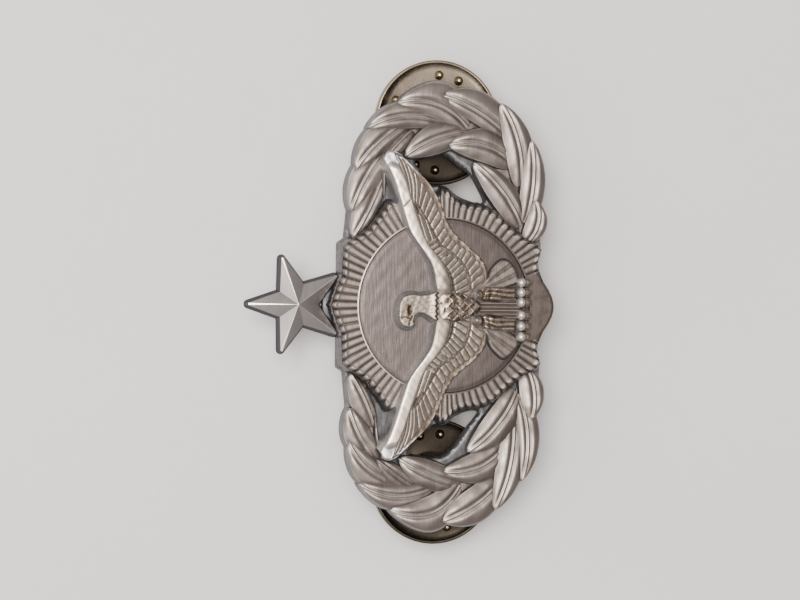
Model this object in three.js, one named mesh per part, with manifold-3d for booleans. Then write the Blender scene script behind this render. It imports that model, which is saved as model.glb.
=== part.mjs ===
// Oval wreath badge with a star, a ribbed sunburst shield and an eagle, held on by two posts
// and two butterfly clutches. Millimetres, +Z up: the badge lies face up on its clutches.
// +X is the wearer's left (the viewer's right), +Y points to the star.
import * as THREE from "three";
import { mergeVertices } from "three/addons/utils/BufferGeometryUtils.js";
import Module from "manifold-3d";

const wasm = await Module();
wasm.setup();

// ---- driving dimensions ---------------------------------------------------
const CLUTCH_HEIGHT = 6.0; // wing tips to the rim of the clutch's disc
const CLUTCH_GAP = 0.9; // rim of the clutch's disc to the back of the badge
const BACK_Z = CLUTCH_HEIGHT + CLUTCH_GAP;
const STAR_TOP = 18.15; // above the middle of the shield
const SHIELD_BOTTOM = -10.2;
const CLUTCH_R = 5.75;
const POSTS = [
  { side: "right", x: 16.85, nubTurn: -14.5 },
  { side: "left", x: -16.15, nubTurn: 4.8 },
];
const POST_Y = 0.2;
const POST_R = 0.55;
const POST_LENGTH = 6.4;

// The origin is under the middle of the whole object's box.
const BOX_CENTRE_X = (POSTS[0].x + POSTS[1].x) / 2;
const BOX_CENTRE_Y = (STAR_TOP + SHIELD_BOTTOM) / 2;

// Heights above the back of the badge.
const PLATE_TOP = 0.8;
const SHIELD_FLOOR = 1.75;
const RIB_VALLEY = 2.1;
const RIB_CREST = 2.4;
const DISC_BOTTOM = SHIELD_FLOOR;
const DISC_TOP = 2.0;
const EAGLE_BOTTOM = 2.45;
const LAYER_GAP = 0.15; // side clearance between neighbouring layers

const DEGREE = Math.PI / 180;

// ---- colours --------------------------------------------------------------
const metal = (color, roughness = 0.45) =>
  new THREE.MeshStandardMaterial({ color, roughness, metalness: 1 });
const PEWTER = metal(0x8f8885);
const DARK_PEWTER = metal(0x74706f);
const WORN_SILVER = metal(0xb9aa9c, 0.35);
const BRASS = metal(0x6b5c3c);
const SPRING_STEEL = metal(0x8a8a88, 0.3);

// ---- helpers --------------------------------------------------------------
function solid(geometry) {
  const bare = geometry.index ? geometry.toNonIndexed() : geometry.clone();
  bare.deleteAttribute("normal");
  bare.deleteAttribute("uv");
  const merged = mergeVertices(bare, 1e-4);
  const vertProperties = new Float32Array(merged.attributes.position.array);
  const triVerts = new Uint32Array(merged.index.array);
  const body = new wasm.Manifold(new wasm.Mesh({ numProp: 3, vertProperties, triVerts }));
  if (body.volume() > 0) return body;
  for (let i = 0; i < triVerts.length; i += 3) {
    [triVerts[i], triVerts[i + 1]] = [triVerts[i + 1], triVerts[i]];
  }
  return new wasm.Manifold(new wasm.Mesh({ numProp: 3, vertProperties, triVerts }));
}

function geometry(manifold) {
  const mesh = manifold.getMesh();
  return new THREE.BufferGeometry()
    .setAttribute("position", new THREE.BufferAttribute(mesh.vertProperties, 3))
    .setIndex(new THREE.BufferAttribute(mesh.triVerts, 1));
}

const join = (solids) => solids.reduce((all, next) => all.add(next));

function piece(name, manifold, material) {
  const mesh = new THREE.Mesh(geometry(manifold), material);
  mesh.name = name;
  return mesh;
}

const middleOf = (ring) =>
  [0, 1, 2].map((k) => ring.reduce((sum, point) => sum + point[k], 0) / ring.length);

// A closed skin through rings of equal length. Each end closes as a fan round one point.
function loft(rings, firstPoint = middleOf(rings[0]), lastPoint = middleOf(rings.at(-1))) {
  const n = rings[0].length;
  const positions = [...rings.flat(), firstPoint, lastPoint].flat();
  const first = rings.length * n;
  const index = [];
  for (let j = 0; j < n; j++) {
    const next = (j + 1) % n;
    for (let i = 0; i + 1 < rings.length; i++) {
      const [a, b] = [i * n + j, i * n + next];
      index.push(a, b, b + n, a, b + n, a + n);
    }
    index.push(first, next, j);
    index.push(first + 1, first - n + j, first - n + next);
  }
  return solid(
    new THREE.BufferGeometry()
      .setAttribute("position", new THREE.Float32BufferAttribute(positions, 3))
      .setIndex(index),
  );
}

// A flat plate with a given outline between two heights.
function plate(points, low, high) {
  const shape = new THREE.Shape(points.map(([x, y]) => new THREE.Vector2(x, y)));
  const made = new THREE.ExtrudeGeometry(shape, { depth: high - low, bevelEnabled: false });
  return solid(made.translate(0, 0, low));
}

const mirrored = (points) => points.map(([x, y]) => [-x, y]).reverse();

// The right half of an outline, from its top to its bottom on x = 0, with its mirror image.
const bothHalves = (points) => [...points, ...mirrored(points).slice(1, -1)];

// A clockwise outline moved outward by a distance.
function grown(points, distance) {
  return points.map(([x, y], i) => {
    const [x0, y0] = points[(i + points.length - 1) % points.length];
    const [x1, y1] = points[(i + 1) % points.length];
    const length = Math.hypot(x1 - x0, y1 - y0);
    return [x - ((y1 - y0) / length) * distance, y + ((x1 - x0) / length) * distance];
  });
}

const turned = (profile, segments = 40) =>
  solid(
    new THREE.LatheGeometry(
      profile.map(([r, z]) => new THREE.Vector2(r, z)),
      segments,
    ).rotateX(Math.PI / 2),
  );

const cylinder = (r, low, high) => [[0, low], [r, low], [r, high], [0, high]];

function ball([x, y, z], [rx, ry, rz], columns = 12, rows = 8) {
  return solid(
    new THREE.SphereGeometry(1, columns, rows).scale(rx, ry, rz).translate(x, y, z),
  );
}

function box(x0, x1, y0, y1, z0, z1) {
  return solid(
    new THREE.BoxGeometry(x1 - x0, y1 - y0, z1 - z0).translate(
      (x0 + x1) / 2,
      (y0 + y1) / 2,
      (z0 + z1) / 2,
    ),
  );
}

// ---- wreath ---------------------------------------------------------------
// Each leaf: its base, its tip, how far the vein bows to the left of base-to-tip, and how far
// the left and right edges stand off the vein. The leaves of a branch run from its free end,
// beside the star, to its stem end, and each one's tip lies over the base of the one before.
const LEFT_LEAVES = [
  [[-13.4, 5.7], [-10.0, 6.2], 0.1, 0.2, 0.2],
  [[-10.9, 6.2], [-6.2, 8.5], -0.2, 1.15, 0.6],
  [[-14.1, 6.0], [-9.3, 8.6], 0.3, 1.05, 1.05],
  [[-16.8, 2.1], [-14.0, 6.0], 0.05, 1.1, 0.8],
  [[-16.2, 3.6], [-12.4, 8.6], 0.8, 1.3, 1.15],
  [[-16.3, -1.8], [-13.9, 4.0], 0.3, 1.25, 1.3],
  [[-16.6, 0.8], [-16.2, 7.6], 0.95, 1.2, 1.1],
  [[-16.4, -1.8], [-18.6, 4.7], 1.45, 1.65, 1.5],
  [[-12.9, -5.9], [-15.1, -0.2], 0.8, 1.35, 1.4],
  [[-16.2, -5.4], [-19.6, -0.1], 0.4, 1.6, 1.5],
  [[-7.8, -7.0], [-13.3, -2.4], 0.55, 1.4, 0.9],
  [[-10.7, -6.8], [-18.6, -5.0], 0.5, 1.3, 1.3],
  [[-8.0, -7.2], [-16.0, -7.5], 0.7, 1.1, 0.95],
  [[-5.8, -8.1], [-10.3, -8.4], 0.4, 0.9, 1.35],
];
const RIGHT_LEAVES = [
  [[14.1, 5.6], [9.8, 5.6], 0.0, 0.3, 0.25],
  [[11.9, 5.6], [6.1, 8.4], 0.2, 0.75, 1.3],
  [[14.1, 5.5], [8.5, 8.6], -0.3, 1.3, 1.05],
  [[16.0, 3.0], [13.4, 5.5], -0.1, 0.85, 0.45],
  [[16.7, 3.5], [12.3, 8.2], -0.4, 1.05, 1.2],
  [[16.0, -2.2], [13.6, 3.7], -0.4, 1.35, 1.35],
  [[16.8, 0.4], [16.1, 7.1], -0.75, 1.1, 1.35],
  [[16.3, -2.2], [18.4, 4.4], -1.1, 1.3, 2.0],
  [[13.3, -6.3], [14.7, -0.4], -0.75, 1.5, 1.5],
  [[15.7, -5.9], [19.2, 0.5], -0.5, 1.1, 1.75],
  [[7.5, -7.3], [13.1, -2.7], -0.5, 1.0, 1.1],
  [[11.1, -7.3], [18.6, -5.2], -0.65, 1.35, 1.25],
  [[7.7, -7.7], [15.3, -8.1], -0.45, 1.15, 1.1],
  [[5.8, -7.8], [9.8, -8.6], -0.65, 1.15, 0.85],
];
const LEAF_BASE_RISE = 0.4;
const LEAF_TIP_RISE = 0.75;
const LEAF_EDGE_DROP = 0.3;
const LEAF_STATIONS = 6;
const LEAF_TIP_WIDTH = 0.06;

function leaf([[bx, by], [tx, ty], bow, left, right]) {
  const length = Math.hypot(tx - bx, ty - by);
  const [ux, uy] = [(tx - bx) / length, (ty - by) / length];
  const rings = [];
  for (let i = 0; i <= LEAF_STATIONS; i++) {
    const s = i / LEAF_STATIONS;
    const vein = 4 * bow * s * (1 - s);
    const swell = Math.sin(Math.PI * Math.pow(s, 0.9)) + LEAF_TIP_WIDTH;
    const crest = PLATE_TOP + LEAF_BASE_RISE + (LEAF_TIP_RISE - LEAF_BASE_RISE) * s + 0.2;
    const at = (offset, z) => [
      bx + ux * s * length - uy * offset,
      by + uy * s * length + ux * offset,
      z,
    ];
    const [edgeL, edgeR] = [vein + left * swell, vein - right * swell];
    rings.push([
      at(edgeL, PLATE_TOP),
      at(edgeL, crest - LEAF_EDGE_DROP),
      at(vein, crest),
      at(edgeR, crest - LEAF_EDGE_DROP),
      at(edgeR, PLATE_TOP),
    ]);
  }
  return loft(rings);
}

// The band under each branch's leaves, as a spine of points with a width at each.
const BRANCH_SPINE = [
  [6.4, 7.9, 0.9],
  [10.5, 7.8, 1.3],
  [14.3, 7.0, 1.8],
  [17.0, 4.4, 2.2],
  [18.0, 1.0, 2.6],
  [17.3, -2.6, 2.6],
  [14.6, -5.6, 2.5],
  [10.8, -7.3, 1.7],
  [6.6, -8.2, 1.0],
];

function band(sign, low, high) {
  const spine = new THREE.CatmullRomCurve3(
    BRANCH_SPINE.map(([x, y]) => new THREE.Vector3(sign * x, y, 0)),
  );
  const steps = 24;
  const rings = [];
  for (let i = 0; i <= steps; i++) {
    const t = i / steps;
    const p = spine.getPoint(t);
    const tangent = spine.getTangent(t);
    const place = t * (BRANCH_SPINE.length - 1);
    const k = Math.min(Math.floor(place), BRANCH_SPINE.length - 2);
    const half =
      BRANCH_SPINE[k][2] + (BRANCH_SPINE[k + 1][2] - BRANCH_SPINE[k][2]) * (place - k);
    const at = (side, z) => [p.x - tangent.y * side * half, p.y + tangent.x * side * half, z];
    rings.push([at(1, low), at(1, high), at(-1, high), at(-1, low)]);
  }
  return loft(rings);
}

const BRANCH_BAND_TOP = PLATE_TOP + 0.45;
function branch(leaves, sign) {
  const grownShield = plate(grown(bothHalves(SHIELD_EDGE), LAYER_GAP), 0, 3);
  return join([band(sign, PLATE_TOP, BRANCH_BAND_TOP), ...leaves.map(leaf)])
    .trimByPlane([0, 0, 1], PLATE_TOP)
    .subtract(grownShield)
    .subtract(wings(LAYER_GAP, 0, 3));
}

// ---- sunburst shield ------------------------------------------------------
// Right half of the outline from the top peak to the bottom tip.
const SHIELD_EDGE = [
  [0, 10.4],
  [1.2, 10.15],
  [2.7, 9.5],
  [5.2, 9.5],
  [5.8, 9.05],
  [6.1, 8.2],
  [6.9, 7.1],
  [8.3, 6.2],
  [9.7, 5.4],
  [9.5, 4.3],
  [9.1, 2.6],
  [9.6, 1.0],
  [10.65, 0.3],
  [10.6, -0.3],
  [9.6, -1.3],
  [9.2, -2.6],
  [9.2, -4.3],
  [8.4, -5.5],
  [6.8, -6.8],
  [5.9, -8.4],
  [5.5, -9.2],
  [4.7, -9.2],
  [4.0, -8.95],
  [1.6, -9.75],
  [0, SHIELD_BOTTOM],
];
const polar = SHIELD_EDGE.map(([x, y]) => [Math.atan2(x, y), Math.hypot(x, y)]);

function shieldRadius(angle) {
  const a = Math.abs(angle);
  const k = Math.max(1, polar.findIndex(([p]) => p >= a - 1e-9));
  const [[a0, r0], [a1, r1]] = [polar[k - 1], polar[k]];
  return r0 + ((r1 - r0) * (a - a0)) / (a1 - a0);
}

// Angles of the rib crests on one side, measured from the top.
const RIB_SECTORS = [
  { to: 30, pitch: 5 },
  { to: 120, pitch: 3.75 },
  { to: 152, pitch: 4.6 },
];
function ribAngles() {
  const angles = [];
  let angle = 0;
  for (const { to, pitch } of RIB_SECTORS) {
    for (; angle < to; angle += pitch) angles.push(angle);
  }
  return angles;
}
const RIB_INNER_R = 8.1;

function ribs() {
  const right = ribAngles();
  const crests = [...right.slice(1).map((a) => -a).reverse(), ...right];
  const rings = [];
  crests.forEach((crest, i) => {
    const steps = [[crest, RIB_CREST]];
    if (i + 1 < crests.length) steps.push([(crest + crests[i + 1]) / 2, RIB_VALLEY]);
    for (const [degrees, top] of steps) {
      const a = degrees * DEGREE;
      const outer = shieldRadius(a) - (top === RIB_CREST ? 0.05 : 0.22);
      const at = (r, z) => [r * Math.sin(a), r * Math.cos(a), z];
      rings.push([
        at(RIB_INNER_R, SHIELD_FLOOR - 0.1),
        at(RIB_INNER_R, top),
        at(outer, top - 0.1),
        at(outer, SHIELD_FLOOR - 0.1),
      ]);
    }
  });
  return loft(rings);
}

function shield() {
  return join([plate(bothHalves(SHIELD_EDGE), PLATE_TOP, SHIELD_FLOOR), ribs()]);
}

const DISC_R = 8.0;
const disc = () =>
  turned(
    [
      [0, DISC_BOTTOM],
      [DISC_R, DISC_BOTTOM],
      [DISC_R, DISC_TOP + 0.05],
      [DISC_R - 0.12, DISC_TOP + 0.15],
      [DISC_R - 0.3, DISC_TOP],
      [0, DISC_TOP],
    ],
    56,
  );

// ---- star -----------------------------------------------------------------
const STAR_CENTRE = [0, 13.45];
const STAR_R = STAR_TOP - STAR_CENTRE[1];
const STAR_VALLEY_R = 1.95;
const STAR_DRAFT = 0.22; // how far the foot of the wall stands outside its top edge
const STAR_EDGE_Z = 1.35;
const STAR_PEAK_Z = 2.3;
const STAR_TIP_CUT = 0.3; // half the width of a blunted tip

function star() {
  const outline = (grow) => {
    const points = [];
    for (let i = 0; i < 5; i++) {
      const tip = (90 + 72 * i) * DEGREE;
      const reach = STAR_R - STAR_DRAFT + grow;
      const cut = STAR_TIP_CUT * 0.5 + grow;
      for (const side of [-1, 1]) {
        points.push([
          STAR_CENTRE[0] + reach * Math.cos(tip) - side * cut * Math.sin(tip),
          STAR_CENTRE[1] + reach * Math.sin(tip) + side * cut * Math.cos(tip),
        ]);
      }
      const dip = tip + 36 * DEGREE;
      const r = STAR_VALLEY_R + grow;
      points.push([STAR_CENTRE[0] + r * Math.cos(dip), STAR_CENTRE[1] + r * Math.sin(dip)]);
    }
    return points;
  };
  const at = (grow, z) => outline(grow).map(([x, y]) => [x, y, z]);
  const peak = [...STAR_CENTRE, STAR_PEAK_Z];
  return loft([at(STAR_DRAFT, 0), at(0, STAR_EDGE_Z)], [...STAR_CENTRE, 0], peak);
}

// The star with a clearance all round, to cut from its neighbours.
const starRoom = () =>
  join([-1, 1].flatMap((sx) => [-1, 1].map((sy) =>
    star().scale([1, 1, 4]).translate([sx * LAYER_GAP, sy * LAYER_GAP, -1]),
  )));

// ---- eagle ----------------------------------------------------------------
const WING_TOP_Z = 2.95;
const WING_EDGE = [
  [0.9, 1.1],
  [2.4, 1.1],
  [3.6, 1.4],
  [4.6, 2.15],
  [5.5, 3.1],
  [6.6, 3.85],
  [8.5, 4.3],
  [10.3, 4.8],
  [12.2, 5.65],
  [13.7, 6.1],
  [14.0, 5.6],
  [13.2, 4.2],
  [12.6, 3.3],
  [10.9, 1.6],
  [8.4, 0.35],
  [7.3, -0.6],
  [5.5, -2.9],
  [4.3, -3.6],
  [3.1, -3.6],
  [1.6, -2.4],
  [0.9, -1.0],
];
const ARM_LINE = [
  [0.4, 0.55],
  [2.4, 0.6],
  [3.9, 1.1],
  [5.1, 2.1],
  [6.2, 3.0],
  [8.2, 3.75],
  [10.6, 4.45],
  [13.2, 5.6],
];
const TAIL_EDGE = [
  [0, -2.5],
  [2.1, -3.7],
  [3.5, -4.2],
  [4.35, -5.0],
  [4.1, -5.7],
  [2.9, -6.8],
  [0, -6.9],
];
const TOE_X = [0.55, 1.4, 2.3];
const TOE_Y = -7.0;
const SIDES = [-1, 1];
const EAGLE_SEAT_R = 7.4;

function sweep(points, radius, z, count) {
  const line = new THREE.CatmullRomCurve3(points.map(([x, y]) => new THREE.Vector3(x, y, z)));
  const section = new THREE.Shape().absellipse(0, 0, 0.32, radius, 0, 2 * Math.PI, false, 0);
  return solid(
    new THREE.ExtrudeGeometry(section, {
      steps: count,
      curveSegments: 4,
      extrudePath: line,
      bevelEnabled: false,
    }),
  );
}

// Both wings as plates, grown by a clearance.
function wings(clearance, low, high) {
  const right = plate(grown(WING_EDGE, clearance), low, high);
  return right.add(plate(mirrored(grown(WING_EDGE, clearance)), low, high));
}

function eagle() {
  const parts = [wings(0, PLATE_TOP, WING_TOP_Z)];
  for (const side of SIDES) {
    parts.push(sweep(ARM_LINE.map(([x, y]) => [side * x, y]), 0.42, WING_TOP_Z, 14));
    parts.push(ball([side * 1.2, -4.1, 2.75], [0.75, 2.1, 0.75], 10, 8));
    for (const x of TOE_X) {
      parts.push(ball([side * x, TOE_Y, 2.7], [0.42, 0.42, 0.5], 8, 6));
      parts.push(ball([side * x, TOE_Y - 0.5, 2.55], [0.3, 0.3, 0.4], 8, 6));
    }
  }
  parts.push(plate(bothHalves(TAIL_EDGE), PLATE_TOP, 2.7));
  parts.push(box(-2.6, 2.6, -7.3, -6.7, PLATE_TOP, 2.65));
  parts.push(ball([0, -0.7, 2.7], [1.5, 2.6, 0.95], 14, 10));
  parts.push(ball([0, 1.9, 2.75], [0.95, 1.6, 0.7], 12, 8));
  parts.push(ball([-0.35, 3.6, 2.8], [1.2, 0.9, 0.85], 12, 8));
  parts.push(ball([-1.3, 3.4, 2.75], [0.62, 0.35, 0.45], 8, 6));
  // Seen from above the eagle lies on the disc, over the ribs, and past them on the back plate.
  const discRoom = turned(cylinder(EAGLE_SEAT_R, DISC_TOP, EAGLE_BOTTOM));
  const shieldRoom = plate(grown(bothHalves(SHIELD_EDGE), LAYER_GAP), 0, EAGLE_BOTTOM);
  const underneath = plate(bothHalves(SHIELD_EDGE), 0, DISC_TOP);
  return join(parts).subtract(shieldRoom.subtract(discRoom)).subtract(underneath);
}

// ---- back plate -----------------------------------------------------------
const OPENING = [
  [10.9, 1.1],
  [12.6, 2.5],
  [13.5, 2.6],
  [13.8, 0.6],
  [13.2, -0.9],
  [12.2, -2.3],
  [11.0, -3.3],
  [9.7, -3.7],
  [9.5, -2.4],
  [10.1, -1.1],
  [10.8, -0.3],
];
const PLATE_EDGE = [
  [0, 10.2],
  [2.6, 9.45],
  [5.9, 9.4],
  [9.0, 8.9],
  [12.6, 8.8],
  [16.2, 7.1],
  [18.8, 4.3],
  [19.9, 1.2],
  [19.9, -1.6],
  [18.4, -4.9],
  [15.6, -7.4],
  [11.6, -8.8],
  [6.6, -9.0],
  [4.0, -8.8],
  [0, SHIELD_BOTTOM + 0.1],
];
// The plate has a notch where the star's two lower points pass.
function backPlate() {
  const hole = plate(OPENING, -1, PLATE_TOP + 1);
  const otherHole = plate(mirrored(OPENING), -1, PLATE_TOP + 1);
  return plate(bothHalves(PLATE_EDGE), 0, PLATE_TOP)
    .subtract(hole)
    .subtract(otherHole)
    .subtract(starRoom());
}

// ---- posts ----------------------------------------------------------------
const POST_GROOVE_R = 0.45;
const FLANGE_R = 1.5;
const FLANGE_HEIGHT = 0.3;
const GRIP_DEPTH = CLUTCH_GAP + 1.4; // where the jaws hold the post, below the badge's back

const post = () =>
  turned(
    [
      [0, -FLANGE_HEIGHT],
      [POST_R, -FLANGE_HEIGHT],
      [POST_R, -GRIP_DEPTH + 0.35],
      [POST_GROOVE_R, -GRIP_DEPTH + 0.2],
      [POST_GROOVE_R, -GRIP_DEPTH - 0.2],
      [POST_R, -GRIP_DEPTH - 0.35],
      [POST_R, -POST_LENGTH + 1.4],
      [0.08, -POST_LENGTH],
      [0, -POST_LENGTH],
    ],
    20,
  );

const postFlange = () =>
  turned(
    [
      [0, 0],
      [FLANGE_R, 0],
      [FLANGE_R - 0.2, -0.2],
      [0.9, -FLANGE_HEIGHT],
      [0, -FLANGE_HEIGHT],
    ],
    24,
  );

// ---- butterfly clutch -----------------------------------------------------
// Local frame: z = 0 at the rim of the disc, the post's axis is z, the wings stand along x.
const BASE_HOLE_R = 0.85;
const DISH_TOP = -0.3;
const DISH_UNDERSIDE = -0.6;
const ROLL_INNER_R = 5.4;
const LIP_R = 4.95;
const LIP_TOP = -1.0;
const LIP_BOTTOM = -1.2;
const NUB_FOOT_R = 0.38;
const NUB_TIP_R = 0.14;
const NUB_TIP_Z = 0.25;
const NUB_RING_R = 4.35;
const NUB_PAIR_HALF_ANGLE = 12.5;
const NUB_PAIRS = 4;
const COVER_FLANGE = { r: 5.2, top: -0.68, bottom: -0.92 };
const COVER_BOX = { x: 3.75, y: 2.9, bottom: -2.75, wall: 0.25 };
const COVER_HOLE_R = 0.8;
const SLOT = { from: 1.95, to: 3.05, half: 2.55 };
const FULCRUM = { x: 2.5, z: -2.62 };
const WING_SHEET = 0.3;
const JAW_Z = -1.4;
const JAW_NOTCH_R = 0.64;
const SPRING_WIRE_R = 0.2;
const SPRING_LEG = { x: 2.98, z: -1.75, half: 1.75 };
const SPRING_BEND = { y: 2.3, half: 3.1 };

function nub(angle) {
  const [x, y] = [NUB_RING_R * Math.cos(angle), NUB_RING_R * Math.sin(angle)];
  const profile = [
    [0, DISH_TOP - 0.1],
    [NUB_FOOT_R, DISH_TOP - 0.1],
    [NUB_TIP_R, NUB_TIP_Z],
    [0, NUB_TIP_Z],
  ];
  return turned(profile, 8).translate([x, y, 0]);
}

// A dish whose rim is rolled under, round the edge of the cover's flange.
function clutchBase(nubTurn) {
  const dish = turned([
    [BASE_HOLE_R, DISH_UNDERSIDE],
    [ROLL_INNER_R, DISH_UNDERSIDE],
    [ROLL_INNER_R, LIP_TOP],
    [LIP_R, LIP_TOP],
    [LIP_R, LIP_BOTTOM],
    [CLUTCH_R - 0.2, LIP_BOTTOM],
    [CLUTCH_R, LIP_TOP],
    [CLUTCH_R, -0.18],
    [CLUTCH_R - 0.15, 0],
    [ROLL_INNER_R - 0.05, -0.02],
    [ROLL_INNER_R - 0.4, DISH_TOP],
    [BASE_HOLE_R, DISH_TOP],
    [BASE_HOLE_R, DISH_UNDERSIDE],
  ]);
  const nubs = [];
  for (let i = 0; i < NUB_PAIRS; i++) {
    for (const side of SIDES) {
      const angle = (360 / NUB_PAIRS) * i + nubTurn + side * NUB_PAIR_HALF_ANGLE;
      nubs.push(nub(angle * DEGREE));
    }
  }
  return join([dish, ...nubs]);
}

function clutchCover() {
  const { x, y, bottom, wall } = COVER_BOX;
  const { r, top, bottom: under } = COVER_FLANGE;
  const cuts = [
    box(-x + wall, x - wall, -y + wall, y - wall, bottom + wall, 0),
    turned(cylinder(COVER_HOLE_R, bottom - 1, 0), 20),
    ...SIDES.map((side) => {
      const [near, far] = [side * SLOT.from, side * SLOT.to];
      const [x0, x1] = [Math.min(near, far), Math.max(near, far)];
      return box(x0, x1, -SLOT.half, SLOT.half, bottom - 1, bottom + 2 * wall);
    }),
  ];
  const outside = turned(cylinder(r, under, top)).add(box(-x, x, -y, y, bottom, top));
  return cuts.reduce((body, cut) => body.subtract(cut), outside);
}

// Middle line of the wing's sheet, from the jaw round the fulcrum to the rolled tip, as x and z.
const WING_LINE = [
  [0.25, JAW_Z],
  [2.1, JAW_Z],
  [2.42, JAW_Z - 0.12],
  [FULCRUM.x, JAW_Z - 0.5],
  [FULCRUM.x, FULCRUM.z - 0.35],
  [2.62, -3.4],
  [3.1, -4.15],
  [3.6, -4.85],
  [3.85, -5.45],
  [3.72, -CLUTCH_HEIGHT + 0.5 * WING_SHEET],
  [3.35, -CLUTCH_HEIGHT + 0.5 * WING_SHEET],
];
const JAW_POINTS = 5; // the first points of the line, inside the cover
const JAW_HALF_WIDTH = 1.7;
const EAR_HALF_WIDTH = 2.4;

// A strip of sheet along a line in the x-z plane, centred on y = 0.
function strip(line, halfWidth) {
  const rings = line.map(([x, z], i) => {
    const [x0, z0] = line[Math.max(i - 1, 0)];
    const [x1, z1] = line[Math.min(i + 1, line.length - 1)];
    const length = Math.hypot(x1 - x0, z1 - z0);
    const nx = (-(z1 - z0) / length) * 0.5 * WING_SHEET;
    const nz = ((x1 - x0) / length) * 0.5 * WING_SHEET;
    return [
      [x + nx, -halfWidth, z + nz],
      [x + nx, halfWidth, z + nz],
      [x - nx, halfWidth, z - nz],
      [x - nx, -halfWidth, z - nz],
    ];
  });
  return loft(rings);
}

function clutchWing(side) {
  const jaw = strip(WING_LINE.slice(0, JAW_POINTS), JAW_HALF_WIDTH);
  const ear = strip(WING_LINE.slice(JAW_POINTS - 1), EAR_HALF_WIDTH);
  const notch = turned(cylinder(JAW_NOTCH_R, COVER_BOX.bottom, 0), 20);
  const made = join([jaw, ear]).subtract(notch);
  return side > 0 ? made : made.rotate([0, 0, 180]);
}

function rod(from, to, radius) {
  const line = new THREE.LineCurve3(new THREE.Vector3(...from), new THREE.Vector3(...to));
  const section = new THREE.Shape().absarc(0, 0, radius, 0, 2 * Math.PI, false);
  return solid(
    new THREE.ExtrudeGeometry(section, { steps: 1, curveSegments: 5, extrudePath: line }),
  );
}

const springLeg = (side) => {
  const { x, z, half } = SPRING_LEG;
  return rod([side * x, -half, z], [side * x, half, z], SPRING_WIRE_R);
};

const springBend = () => {
  const { y, half } = SPRING_BEND;
  return rod([-half, y, SPRING_LEG.z], [half, y, SPRING_LEG.z], SPRING_WIRE_R);
};

function clutch({ side, x, nubTurn }) {
  const group = new THREE.Group();
  group.position.set(x, POST_Y, -CLUTCH_GAP);
  const turnedParts = new THREE.Group();
  turnedParts.rotation.z = Math.PI / 2; // wings along Y, for a steady stand
  group.add(piece(`${side}_clutch_base`, clutchBase(nubTurn), BRASS), turnedParts);
  turnedParts.add(
    piece(`${side}_clutch_cover`, clutchCover(), BRASS),
    piece(`${side}_clutch_wing_upper`, clutchWing(1), BRASS),
    piece(`${side}_clutch_wing_lower`, clutchWing(-1), BRASS),
    piece(`${side}_spring_leg_upper`, springLeg(1), SPRING_STEEL),
    piece(`${side}_spring_leg_lower`, springLeg(-1), SPRING_STEEL),
    piece(`${side}_spring_bend`, springBend(), SPRING_STEEL),
  );
  return group;
}

// ---- assembly -------------------------------------------------------------
const badge = new THREE.Group();
badge.position.set(-BOX_CENTRE_X, -BOX_CENTRE_Y, BACK_Z);
badge.add(
  piece("back_plate", backPlate(), DARK_PEWTER),
  piece("wreath_branch_left", branch(LEFT_LEAVES, -1), PEWTER),
  piece("wreath_branch_right", branch(RIGHT_LEAVES, 1), PEWTER),
  piece("sunburst_shield", shield(), PEWTER),
  piece("centre_disc", disc(), DARK_PEWTER),
  piece("star", star(), PEWTER),
  piece("eagle", eagle(), WORN_SILVER),
);
for (const place of POSTS) {
  const stud = new THREE.Group();
  stud.position.set(place.x, POST_Y, 0);
  stud.add(
    piece(`${place.side}_post_flange`, postFlange(), BRASS),
    piece(`${place.side}_post`, post(), BRASS),
  );
  badge.add(stud, clutch(place));
}

const assembly = new THREE.Group();
assembly.add(badge);
export default assembly;
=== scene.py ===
"""Looks for the wreathed badge pin: antiqued relief, brass clutches, posts and grip springs.

Shapes are worked out in millimetres in the badge's own frame, whose origin is the middle of the
shield on the back of the badge, with +X to the viewer's right, +Y to the star and +Z out of the front.
"""
import math
import bpy
import numpy as np
from mathutils import Matrix, Vector


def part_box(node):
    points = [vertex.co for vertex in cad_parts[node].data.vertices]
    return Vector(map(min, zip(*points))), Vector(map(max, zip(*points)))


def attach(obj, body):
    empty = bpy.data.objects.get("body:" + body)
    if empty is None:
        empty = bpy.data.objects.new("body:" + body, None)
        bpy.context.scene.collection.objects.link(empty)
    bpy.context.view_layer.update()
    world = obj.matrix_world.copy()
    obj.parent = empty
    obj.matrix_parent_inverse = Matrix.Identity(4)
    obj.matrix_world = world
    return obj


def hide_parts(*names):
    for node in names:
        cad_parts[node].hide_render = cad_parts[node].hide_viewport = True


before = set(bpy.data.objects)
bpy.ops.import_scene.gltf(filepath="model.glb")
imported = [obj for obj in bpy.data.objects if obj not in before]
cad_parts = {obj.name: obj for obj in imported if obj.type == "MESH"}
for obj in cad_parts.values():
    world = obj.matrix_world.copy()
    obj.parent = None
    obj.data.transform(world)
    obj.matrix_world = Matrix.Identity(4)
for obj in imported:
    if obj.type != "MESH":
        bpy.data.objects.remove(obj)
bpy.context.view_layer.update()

MM = 0.001


def centre_of(node):
    low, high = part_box(node)
    return (low + high) / 2 / MM


ORIGIN = np.array([*centre_of("centre_disc").xy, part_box("back_plate")[0].z / MM])
POSTS = {side: np.array(centre_of(f"{side}_post"))[:2] - ORIGIN[:2] for side in ("right", "left")}

# Heights above the back of the badge.
PLATE_TOP = 0.8
SHIELD_WALL_TOP = 1.75
RIB_CREST = 2.35
DISC_TOP = 2.0
NUB_RISE = 0.25  # how far the nubs stand above the clutch's rim
CLUTCH_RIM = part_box("right_clutch_base")[1].z / MM - NUB_RISE - ORIGIN[2]


# ---- numbers and curves ------------------------------------------------------
def smoothstep(low, high, value):
    t = np.clip((value - low) / (high - low), 0, 1)
    return t * t * (3 - 2 * t)


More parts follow.
